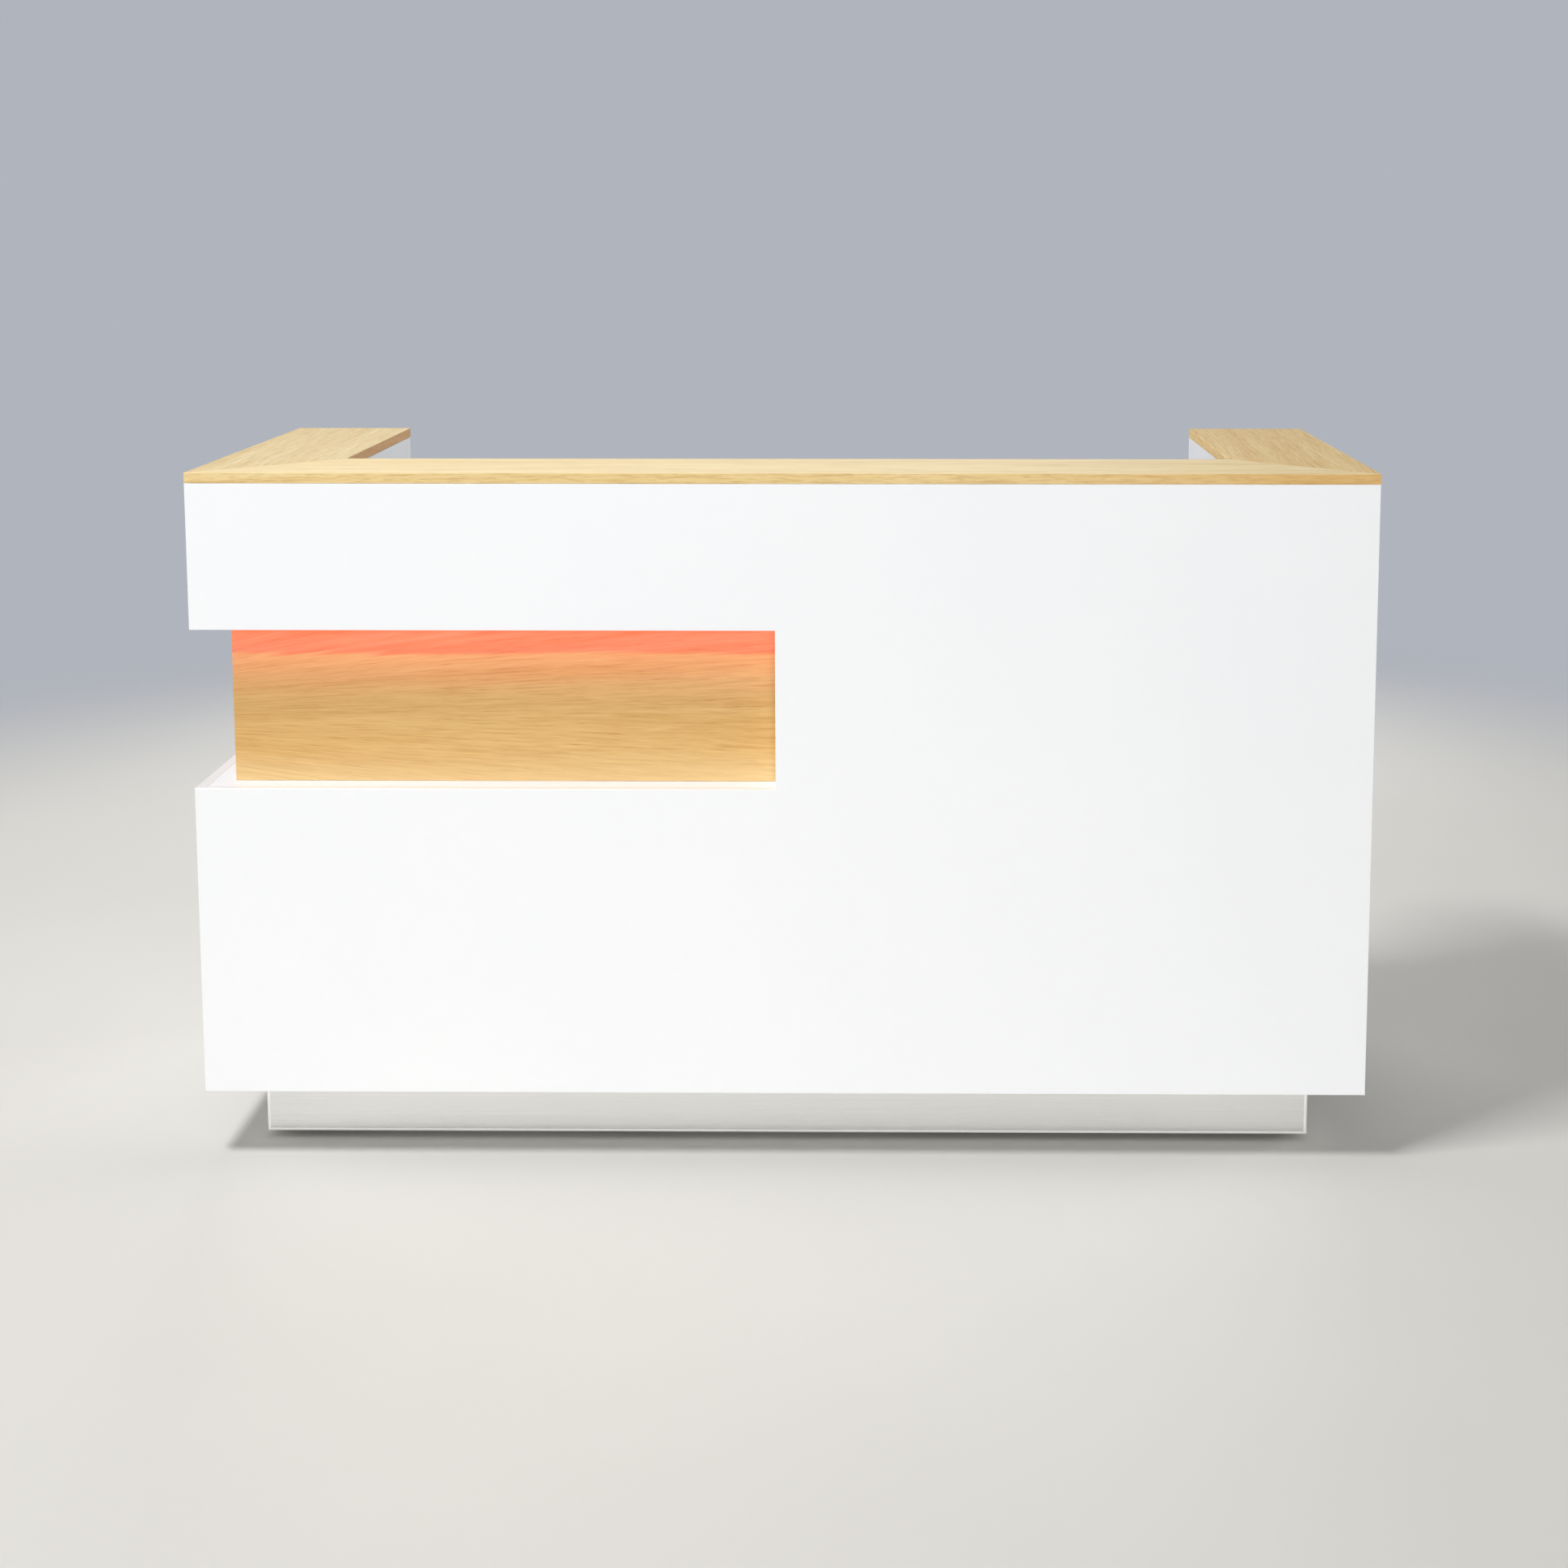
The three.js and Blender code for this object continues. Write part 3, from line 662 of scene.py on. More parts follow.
@dataclass(frozen=True)
class KickSheet(BrushedAluminium):
    """Brushed sheet of the toe kick, with a narrow painted highlight along its ends and foot."""

    dullness: tuple[float, float] = (0.20, 0.32)
    ends: tuple[float, float] = (0.0, 0.0)
    foot: float = 0.0
    # Painted highlight: a narrow bright white band along the ends and foot of the sheet, over its bevelled
    # edges.
    edge_highlight: float = 0.0052
    edge_highlight_blur: float = 0.0004
    edge_highlight_tone: Tone = Tone(253, 252, 250)

    def lay(self, sheet: NodeSheet) -> None:
        """Lay the brushed metal and the painted highlight along its edges."""
        inputs = self._brushed(sheet)
        run, _, height = sheet.split(sheet.along(self.grain))
        first, last = self.ends
        # Painted highlight: the band along the foot and ends is made white and non-metallic.
        edge_highlight = height.rise(self.foot + self.edge_highlight, self.foot + self.edge_highlight - self.edge_highlight_blur)
        edge_highlight = edge_highlight.most(run.rise(first + self.edge_highlight, first + self.edge_highlight - self.edge_highlight_blur))
        edge_highlight = edge_highlight.most(run.rise(last - self.edge_highlight, last - self.edge_highlight + self.edge_highlight_blur))
        inputs["Base Color"] = sheet.blend(edge_highlight, inputs["Base Color"], self.edge_highlight_tone)
        inputs["Metallic"] = 1.0 - edge_highlight
        inputs["Roughness"] = inputs["Roughness"] + 0.25 * edge_highlight
        sheet.surface(inputs)


@dataclass(frozen=True)
class ZincSteel(Finish):
    """Roll-formed steel with bright zinc plating, faintly clouded."""

    name: str = "bright_zinc"
    slot: str = "zinc_steel"
    bright: Tone = Tone(196, 200, 206)
    dull: Tone = Tone(160, 164, 172)
    cloud_pitch: float = 38.0
    roll_pitch: tuple[float, float] = (3.0, 700.0)

    def lay(self, sheet: NodeSheet) -> None:
        """Lay the clouded plating and the marks of rolling."""
        cloud = sheet.noise(sheet.place(), (self.cloud_pitch, self.cloud_pitch), 3.0)
        rolled = sheet.noise(sheet.along(Grain.ALONG_Y), self.roll_pitch, 2.0)
        sheet.surface({
            "Base Color": sheet.blend(0.6 * cloud + 0.4 * rolled, self.dull, self.bright),
            "Metallic": 1.0,
            "Roughness": 0.24 + 0.18 * cloud,
            "Normal": sheet.bump(rolled, 0.00002),
        })


@dataclass(frozen=True)
class MouldedPlastic(Finish):
    """Moulded plastic with a fine spark-eroded grain."""

    name: str
    slot: str
    dark: Tone
    light: Tone
    grain_pitch: float = 1500.0
    cloud_pitch: float = 30.0
    relief: float = 0.00006

    def lay(self, sheet: NodeSheet) -> None:
        """Lay the moulded grain and a faint cloud."""
        place = sheet.place()
        grain = sheet.noise(place, (self.grain_pitch, self.grain_pitch), 2.0)
        cloud = sheet.noise(place, (self.cloud_pitch, self.cloud_pitch), 2.0)
        sheet.surface({
            "Base Color": sheet.blend(0.5 * cloud + 0.5 * grain, self.dark, self.light),
            "Roughness": 0.42 + 0.18 * grain,
            "Normal": sheet.bump(grain, self.relief),
        })


@dataclass(frozen=True)
class GreyMelamine(Finish):
    """Matt pale grey melamine of the drawer boxes, with a linen fleck."""

    name: str = "drawer_melamine"
    slot: str = "drawer_board"
    light: Tone = Tone(228, 228, 226)
    fleck: Tone = Tone(208, 208, 205)
    thread_pitch: tuple[float, float] = (70.0, 900.0)

    def lay(self, sheet: NodeSheet) -> None:
        """Lay the crossed threads of the linen print."""
        warp = sheet.noise(sheet.along(Grain.ALONG_X), self.thread_pitch, 1.0)
        weft = sheet.noise(sheet.along(Grain.ALONG_Y), self.thread_pitch, 1.0)
        thread = 0.5 * warp + 0.5 * weft
        sheet.surface({
            "Base Color": sheet.blend(thread.rise(0.35, 0.70), self.light, self.fleck),
            "Roughness": 0.52 + 0.14 * thread,
            "Normal": sheet.bump(thread, 0.00004),
        })


@dataclass(frozen=True)
class LightCover(Finish):
    """Frosted cover of the light line, brighter in front of each chip."""

    name: str
    grain: Grain
    slot: str = "led_diffuser"
    frost: Tone = Tone(255, 218, 206)
    between: Tone = Tone(255, 66, 48)
    hot: Tone = Tone(255, 96, 68)
    chip_pitch: float = 0.0333
    strength: float = 0.6

    def lay(self, sheet: NodeSheet) -> None:
        """Lay the frost and the light behind it."""
        run, _, _ = sheet.split(sheet.along(self.grain))
        wave = 0.5 + 0.5 * (run * (math.tau / self.chip_pitch)).sine()
        frost = sheet.noise(sheet.place(), (900.0, 900.0), 1.0)
        sheet.surface({
            "Base Color": self.frost,
            "Roughness": 0.45 + 0.15 * frost,
            "Emission Color": sheet.blend(wave, self.between, self.hot),
            "Emission Strength": self.strength,
        })


@dataclass(frozen=True)
class CircuitTape(Finish):
    """Flexible circuit of the light line, with copper pads between its chips."""

    name: str
    grain: Grain
    slot: str = "led_strip"
    mask: Tone = Tone(232, 230, 222)
    copper: Tone = Tone(196, 128, 74)
    pad_pitch: float = 0.0333

    def lay(self, sheet: NodeSheet) -> None:
        """Lay the solder mask and the pads."""
        run, _, _ = sheet.split(sheet.along(self.grain))
        pads = (run * (math.tau / self.pad_pitch)).sine().rise(0.90, 0.96)
        speck = sheet.noise(sheet.place(), (700.0, 700.0), 1.0)
        sheet.surface({
            "Base Color": sheet.blend(pads, self.mask, self.copper),
            "Metallic": pads,
            "Roughness": 0.40 + 0.15 * speck,
        })


@dataclass(frozen=True)
class FinishBook:
    """Every finish of the desk."""

    laminate: Finish = WhiteLaminate("gloss_white", 0.16, 0.20, 0.35)
    # Painted light: the satin white is tinted cool, cancelling the warm light that the oak and the light line
    # cast on the ledge.
    satin: Finish = WhiteLaminate(
        "satin_white", 0.50, 0.0, 0.2, clear=Tone(241, 248, 254), cloudy=Tone(237, 244, 251)
    )
    # Painted shade: the worktop's white is set darker than the other white boards, to keep its strongly lit
    # face from glaring.
    worktop: Finish = WhiteLaminate(
        "worktop_white", 0.40, 0.0, 0.3, clear=Tone(239, 240, 242), cloudy=Tone(235, 236, 239)
    )
    oak_front: Finish = CounterOak(
        "oak_counter_front", Grain.ALONG_X, 0.0, pith=(-0.60, 0.84), pith_slope=0.02,
        pale=Tone(247, 226, 174), honey=Tone(237, 209, 148),
    )
    # The left board's edges take a strong dark band, partly painted shade on its inner edge, which faces away
    # from the light.
    oak_left: Finish = CounterOak(
        "oak_counter_left", Grain.ALONG_Y, 3.1, pith=(-1.10, 0.95), pith_slope=0.03,
        pale=Tone(228, 206, 154), honey=Tone(219, 190, 129), band=Tone(206, 136, 70), edge_band_and_shade_share=0.60,
    )
    oak_right: Finish = CounterOak(
        "oak_counter_right", Grain.ALONG_Y, 7.7, pith=(0.55, 0.95), pith_slope=-0.04,
        pale=Tone(232, 202, 136), honey=Tone(222, 184, 113),
    )
    oak_recess_front: Finish = LitOak("oak_recess_front", Grain.ALONG_X, 12.4, fan_start=-0.43)
    oak_recess_side: Finish = LitOak("oak_recess_side", Grain.ALONG_Y, 17.9, fan=0.8)
    brushed_x: Finish = BrushedAluminium("brushed_along_x", Grain.ALONG_X)
    brushed_y: Finish = BrushedAluminium("brushed_along_y", Grain.ALONG_Y)
    zinc: Finish = ZincSteel()
    black: Finish = MouldedPlastic("black_moulding", "black_plastic", Tone(26, 27, 29), Tone(42, 43, 46))
    grey: Finish = MouldedPlastic("grey_moulding", "grey_plastic", Tone(132, 135, 138), Tone(152, 155, 158))
    cap_white: Finish = MouldedPlastic(
        "white_cover_caps", "white_laminate", Tone(236, 237, 239), Tone(244, 245, 246)
    )
    melamine: Finish = GreyMelamine()
    cover_x: Finish = LightCover("light_cover_along_x", Grain.ALONG_X)
    cover_y: Finish = LightCover("light_cover_along_y", Grain.ALONG_Y)
    tape_x: Finish = CircuitTape("circuit_along_x", Grain.ALONG_X)
    tape_y: Finish = CircuitTape("circuit_along_y", Grain.ALONG_Y)


class Mould:
    """A mesh in the making: closed shells that end up as one piece."""

    def __init__(self) -> None:
        """Start with an empty mesh."""
        self.mesh = bmesh.new()

    @classmethod
    def copy_of(cls, node: str) -> "Mould":
        """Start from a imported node's shape, with its loose triangles joined up.

        Args:
            node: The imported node's name.

        Returns:
            A mould of that shape.
        """
        made = cls()
        made.mesh.from_mesh(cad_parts[node].data)
        bmesh.ops.remove_doubles(made.mesh, verts=made.mesh.verts[:], dist=WELD_DISTANCE)
        bmesh.ops.dissolve_limit(
            made.mesh, angle_limit=math.radians(1), verts=made.mesh.verts[:], edges=made.mesh.edges[:]
        )
        return made

    def face(self, corners: Sequence[Vector]) -> bmesh.types.BMFace:
        """Add one face by its corners."""
        return self.mesh.faces.new([self.mesh.verts.new(corner) for corner in corners])

    def extrude(self, face: bmesh.types.BMFace, run: Vector) -> bmesh.types.BMFace:
        """Draw a face out along a straight run.

        Args:
            face: The face to draw out.
            run: The way and the length.

        Returns:
            The face at the end of the run.
        """
        made = bmesh.ops.extrude_face_region(self.mesh, geom=[face, *face.edges])["geom"]
        moved = [item for item in made if isinstance(item, bmesh.types.BMVert)]
        bmesh.ops.translate(self.mesh, vec=run, verts=moved)
        return next(item for item in made if isinstance(item, bmesh.types.BMFace))

    def bend(
        self, face: bmesh.types.BMFace, centre: Vector, axis: Vector, angle: float, steps: int
    ) -> bmesh.types.BMFace:
        """Draw a face round a bend.

        Args:
            face: The face to draw round.
            centre: A point on the bend's axis.
            axis: The bend's axis.
            angle: The turn.
            steps: How many steps the turn has.

        Returns:
            The face at the end of the bend.
        """
        geometry = [face, *face.edges, *face.verts]
        made = bmesh.ops.spin(
            self.mesh, geom=geometry, cent=centre, axis=axis, angle=angle, steps=steps, use_merge=False
        )
        return next(item for item in made["geom_last"] if isinstance(item, bmesh.types.BMFace))

    def turned(self, profile: Profile, centre: Vector, axis: Vector, steps: int, ring: bool = False) -> None:
        """Turn a profile about an axis.

        Args:
            profile: Points as radius and height along the axis.
            centre: The place of height 0 on the axis.
            axis: The axis.
            steps: How many sides the round has.
            ring: Whether the profile closes on itself clear of the axis.
        """
        side = axis.orthogonal().normalized()
        points = [self.mesh.verts.new(centre + side * radius + axis * height) for radius, height in profile]
        following = points[1:] + points[:1] if ring else points[1:]
        edges = [self.mesh.edges.new(pair) for pair in zip(points, following)]
        bmesh.ops.spin(
            self.mesh, geom=points + edges, cent=centre, axis=axis, angle=math.tau, steps=steps, use_merge=True
        )

    def ringed(self, outline: Sequence[Vector], run: Vector, centre: Vector, count: int) -> None:
        """Extrude an outline and repeat it round an upright axis.

        Args:
            outline: The outline's corners.
            run: The way and the length of the extrusion.
            centre: A point on the axis.
            count: How many copies stand round it.
        """
        before = set(self.mesh.faces)
        self.extrude(self.face(outline), run)
        made = [face for face in self.mesh.faces if face not in before]
        edges = {edge for face in made for edge in face.edges}
        verts = {vert for face in made for vert in face.verts}
        bmesh.ops.spin(
            self.mesh,
            geom=[*made, *edges, *verts],
            cent=centre,
            axis=AXIS_Z,
            angle=math.tau * (count - 1) / count,
            steps=count - 1,
            use_duplicate=True,
        )

    def block(self, low: Vector, high: Vector, ease: float) -> None:
        """Add a block with rounded edges.

        Args:
            low: Its lowest corner.
            high: Its highest corner.
            ease: The radius of its edges.
        """
        verts = bmesh.ops.create_cube(self.mesh, size=1.0)["verts"]
        bmesh.ops.scale(self.mesh, vec=high - low, verts=verts)
        bmesh.ops.translate(self.mesh, vec=(low + high) / 2, verts=verts)
        self._round(list({edge for vert in verts for edge in vert.link_edges}), ease, 2)

    def soften(self, ease: float, segments: int, level: float | None = None) -> None:
        """Round the mesh's sharp edges.

        Args:
            ease: The radius.
            segments: How many facets the round has.
            level: A height along Y whose edges stay sharp, where the piece is seated.
        """
        sharp = [edge for edge in self.mesh.edges if edge.is_manifold and edge.calc_face_angle() > CORNER_ANGLE]
        if level is not None:
            sharp = [edge for edge in sharp if any(abs(v.co.y - level) > WELD_DISTANCE for v in edge.verts)]
        self._round(sharp, ease, segments)

    def _round(self, edges: list[bmesh.types.BMEdge], ease: float, segments: int) -> None:
        """Bevel a set of edges to a round."""
        bmesh.ops.bevel(
            self.mesh,
            geom=edges,
            offset=ease,
            offset_type="OFFSET",
            segments=segments,
            profile=0.5,
            affect="EDGES",
            material=-1,
            clamp_overlap=True,
        )

    def piece(self, name: str, finish: Finish, body: str, *stands_for: str) -> bpy.types.Object:
        """Close the mesh and make it a piece of the desk.

        Args:
            name: The piece's name.
            finish: Its finish.
            body: The body that it rides on.
            stands_for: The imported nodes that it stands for, if any.

        Returns:
            The piece.
        """
        bmesh.ops.remove_doubles(self.mesh, verts=self.mesh.verts[:], dist=WELD_DISTANCE)
        bmesh.ops.recalc_face_normals(self.mesh, faces=self.mesh.faces[:])
        data = bpy.data.meshes.new(name)
        self.mesh.to_mesh(data)
        self.mesh.free()
        data.materials.append(finish.material())
        data.shade_smooth()
        data.set_sharp_from_angle(angle=SHARP_ANGLE)
        made = bpy.data.objects.new(name, data)
        bpy.context.scene.collection.objects.link(made)
        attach(made, body)
        if stands_for:
            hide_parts(*stands_for)
        LOG.info("%s: %d faces on %s", name, len(data.polygons), body)
        return made


@dataclass(frozen=True)
class ButtonScrew:
    """A button-head screw with a drive socket, of which the head shows."""

    radius: float = 0.0042
    height: float = 0.0022
    socket_radius: float = 0.0017
    socket_depth: float = 0.0014
    steps: int = 18

    def drive(self, mould: Mould, seat: Vector, out: Vector) -> None:
        """Add one head.

        Args:
            mould: The mesh that takes it.
            seat: The middle of the surface that it sits on.
            out: The way that the head stands out.
        """
        floor = self.height - self.socket_depth
        profile = [
            (0.0, 0.0),
            (self.radius * 0.96, 0.0),
            (self.radius, self.height * 0.25),
            (self.radius * 0.86, self.height * 0.68),
            (self.radius * 0.58, self.height),
            (self.socket_radius, self.height),
            (self.socket_radius * 0.92, floor),
            (0.0, floor),
        ]
        mould.turned(profile, seat, out, self.steps)


@dataclass(frozen=True)
class CoverCap:
    """A domed cap that covers a fixing screw."""

    radius: float = 0.0065
    height: float = 0.0012
    steps: int = 24

    def press(self, mould: Mould, seat: Vector, out: Vector) -> None:
        """Add one cap.

        Args:
            mould: The mesh that takes it.
            seat: The middle of the surface that it sits on.
            out: The way that the dome faces.
        """
        profile = [
            (0.0, 0.0),
            (self.radius, 0.0),
            (self.radius, self.height * 0.30),
            (self.radius * 0.86, self.height * 0.72),
            (self.radius * 0.50, self.height * 0.94),
            (0.0, self.height),
        ]
        mould.turned(profile, seat, out, self.steps)


@dataclass
class SubAssembly(ABC):
    """A group of boards and fittings of the desk."""

    finishes: FinishBook

    @abstractmethod
    def build(self) -> None:
        """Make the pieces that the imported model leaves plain."""

    @abstractmethod
    def dress(self) -> None:
        """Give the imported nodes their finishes."""

    def coat(self, finish: Finish, *nodes: str) -> None:
        """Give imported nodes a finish.

        Args:
            finish: The finish.
            nodes: The nodes' names.
        """
        for node in nodes:
            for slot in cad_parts[node].material_slots:
                slot.material = finish.material()
            LOG.info("%s: finished in %s", node, finish.name)


@dataclass
class Counter(SubAssembly):
    """The oak counter, whose three boards meet in mitres."""

    def build(self) -> None:
        """The counter's boards are as packed."""

    def dress(self) -> None:
        """Run the grain along each board."""
        self.coat(self.finishes.oak_front, "counter_front")
        self.coat(self.finishes.oak_left, "counter_left")
        self.coat(self.finishes.oak_right, "counter_right")


@dataclass
class OuterWalls(SubAssembly):
    """The white boards that visitors see, with the wings' end boards."""

    def build(self) -> None:
        """The walls' boards are as packed."""

    def dress(self) -> None:
        """Face the walls in gloss white."""
        self.coat(
            self.finishes.laminate,
            "front_panel",
            "left_upper_panel",
            "left_lower_panel",
            "right_side_panel",
            "left_end_panel",
            "right_end_panel",
        )


@dataclass
class StaffLining(SubAssembly):
    """The white boards that line the staff side, with the caps over their screws."""

    cap: CoverCap = CoverCap()
    edge_setback: float = 0.038
    low_row: float = 0.30
    mid_row: float = 0.60
    high_row: float = 0.92
    front_caps: int = 5

    def build(self) -> None:
        """Press the cover caps in along the boards' fixings."""
        mould = Mould()
        rows = (self.low_row, self.mid_row, self.high_row)
        low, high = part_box("inner_left_panel")
        for height in rows:
            for depth in (low.y + self.edge_setback, high.y - self.edge_setback):
                self.cap.press(mould, Vector((high.x, depth, height)), AXIS_X)
        low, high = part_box("inner_right_panel")
        for depth in (low.y + self.edge_setback, high.y - self.edge_setback):
            self.cap.press(mould, Vector((low.x, depth, self.high_row)), -AXIS_X)
        low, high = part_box("inner_front_panel")
        span = high.x - low.x - 2 * self.edge_setback
        for index in range(self.front_caps):
            run = low.x + self.edge_setback + span * index / (self.front_caps - 1)
            self.cap.press(mould, Vector((run, high.y, self.high_row)), AXIS_Y)
        mould.piece("lining_cover_caps", self.finishes.cap_white, BODY_DESK)

    def dress(self) -> None:
        """Face the lining in gloss white."""
        self.coat(
            self.finishes.laminate, "inner_front_panel", "inner_left_panel", "inner_right_panel", "front_rib"
        )


@dataclass
class LitRecess(SubAssembly):
    """The notch with its oak back, ledge, soffit and light line."""

    screw: ButtonScrew = ButtonScrew(radius=0.0036, height=0.002)
    ear_setback: float = 0.007
    ear_thickness: float = 0.003

    def build(self) -> None:
        """Screw the light's driver to the front wall."""
        low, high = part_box("led_driver")
        mould = Mould()
        middle = (low.z + high.z) / 2
        for run in (low.x + self.ear_setback, high.x - self.ear_setback):
            self.screw.drive(mould, Vector((run, high.y - self.ear_thickness, middle)), -AXIS_Y)
        mould.piece("led_driver_screws", self.finishes.zinc, BODY_DESK)

    def dress(self) -> None:
        """Dress the oak, the white returns and the light."""
        self.coat(self.finishes.oak_recess_front, "oak_front_panel")
        self.coat(self.finishes.oak_recess_side, "oak_side_panel")
        self.coat(self.finishes.satin, "recess_ledge", "recess_soffit", "recess_stop_panel")
        self.coat(self.finishes.brushed_x, "led_channel_front")
        self.coat(self.finishes.brushed_y, "led_channel_side")
        self.coat(self.finishes.tape_x, "led_strip_front")
        self.coat(self.finishes.tape_y, "led_strip_side")
        self.coat(self.finishes.cover_x, "led_diffuser_front")
        self.coat(self.finishes.cover_y, "led_diffuser_side")
        self.coat(self.finishes.black, "led_driver")


@dataclass
class ToeBase(SubAssembly):
    """The base board, the brushed kick and the adjustable legs."""

    leg_count: int = 6
    foot_radius: float = 0.028
    foot_thickness: float = 0.007
    foot_taper: float = 0.005
    thread_radius: float = 0.0105
    thread_reach: float = 0.007
    tube_radius: float = 0.016
    collar_radius: float = 0.021
    flange_radius: float = 0.031
    collar_height: float = 0.034
    flange_thickness: float = 0.005
    leg_ease: float = 0.001
    rib_count: int = 8
    rib_thickness: float = 0.0024
    rib_drop: float = 0.022
    leg_steps: int = 36

    def _leg_profile(self, height: float) -> list[tuple[float, float]]:
        """Work out a leg's turned profile.

        Args:
            height: The leg's height.

        Returns:
            Points as radius and height.
        """
        ease = self.leg_ease
        foot_top = self.foot_thickness + self.foot_taper
        tube_foot = foot_top + self.thread_reach
        collar_foot = height - self.collar_height
        flange_foot = height - self.flange_thickness
        return [
            (0.0, 0.0),
            (self.foot_radius - ease, 0.0),
            (self.foot_radius, ease),
            (self.foot_radius, self.foot_thickness - ease),
            (self.foot_radius - ease, self.foot_thickness),
            (self.tube_radius, foot_top - ease / 2),
            (self.tube_radius - ease, foot_top),
            (self.thread_radius, foot_top),
            (self.thread_radius, tube_foot),
            (self.tube_radius - ease, tube_foot),
            (self.tube_radius, tube_foot + ease),
            (self.tube_radius, collar_foot),
            (self.collar_radius - ease, collar_foot),
            (self.collar_radius, collar_foot + ease),
            (self.collar_radius, flange_foot),
            (self.flange_radius - ease, flange_foot),
            (self.flange_radius, flange_foot + ease),
            (self.flange_radius, height),
            (0.0, height),
        ]

    def build(self) -> None:
        """Turn each leg and set its ribs under the flange."""
        for number in range(1, self.leg_count + 1):
            node = f"leg_{number}"
            low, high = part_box(node)
            centre = Vector(((low.x + high.x) / 2, (low.y + high.y) / 2, low.z))
            mould = Mould()
            mould.turned(self._leg_profile(high.z - low.z), centre, AXIS_Z, self.leg_steps)
            under = high.z - self.flange_thickness
            inner = centre.x + self.collar_radius - self.leg_ease
            start = centre.y - self.rib_thickness / 2
            outline = [
                Vector((inner, start, under)),
                Vector((centre.x + self.flange_radius - self.leg_ease, start, under)),
                Vector((inner, start, under - self.rib_drop)),
            ]
            mould.ringed(outline, AXIS_Y * self.rib_thickness, centre, self.rib_count)
            mould.piece(f"levelling_leg_{number}", self.finishes.black, BODY_DESK, node)

    def dress(self) -> None:
        """Dress the base board and the kick."""
        self.coat(self.finishes.laminate, "base_panel")
        low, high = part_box("kick_front")
        self.coat(
            KickSheet(
                "kick_sheet_front",
                Grain.ALONG_X,
                # Painted light: the front sheet is set brighter than the side sheets, standing in for light
                # that the kick reflects.
                bright=Tone(251, 251, 250),
                dull=Tone(243, 243, 243),
                ends=(low.x, high.x),
                foot=low.z,
            ),
            "kick_front",
        )
        low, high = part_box("kick_left")
        self.coat(
            KickSheet("kick_sheet_side", Grain.ALONG_Y, ends=(-high.y, -low.y), foot=low.z),
            "kick_left",
            "kick_right",
        )


@dataclass
class StaffWorktop(SubAssembly):
    """The worktop, its cleat and its cable grommet."""

    screw: ButtonScrew = ButtonScrew()
    cleat_screws: int = 5
    cleat_end: float = 0.05
    flange_round: float = 0.0008
    cap_round: float = 0.0006

    def build(self) -> None:
        """Round the grommet and screw the cleat on."""
        liner = Mould.copy_of("grommet_liner")
        liner.soften(self.flange_round / 2, 2)
        liner.piece("cable_grommet_liner", self.finishes.grey, BODY_DESK, "grommet_liner")
        cap = Mould.copy_of("grommet_cap")
        cap.soften(self.cap_round, 3)
        cap.piece("cable_grommet_cap", self.finishes.grey, BODY_CAP, "grommet_cap")
        low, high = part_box("worktop_cleat")
        mould = Mould()
        span = high.y - low.y - 2 * self.cleat_end
        for index in range(self.cleat_screws):
            run = low.y + self.cleat_end + span * index / (self.cleat_screws - 1)
            self.screw.drive(mould, Vector((high.x, run, (low.z + high.z) / 2)), AXIS_X)
        mould.piece("cleat_screws", self.finishes.zinc, BODY_DESK)

    def dress(self) -> None:
        """Face the worktop and its cleat in white."""
        self.coat(self.finishes.worktop, "worktop", "worktop_cleat")


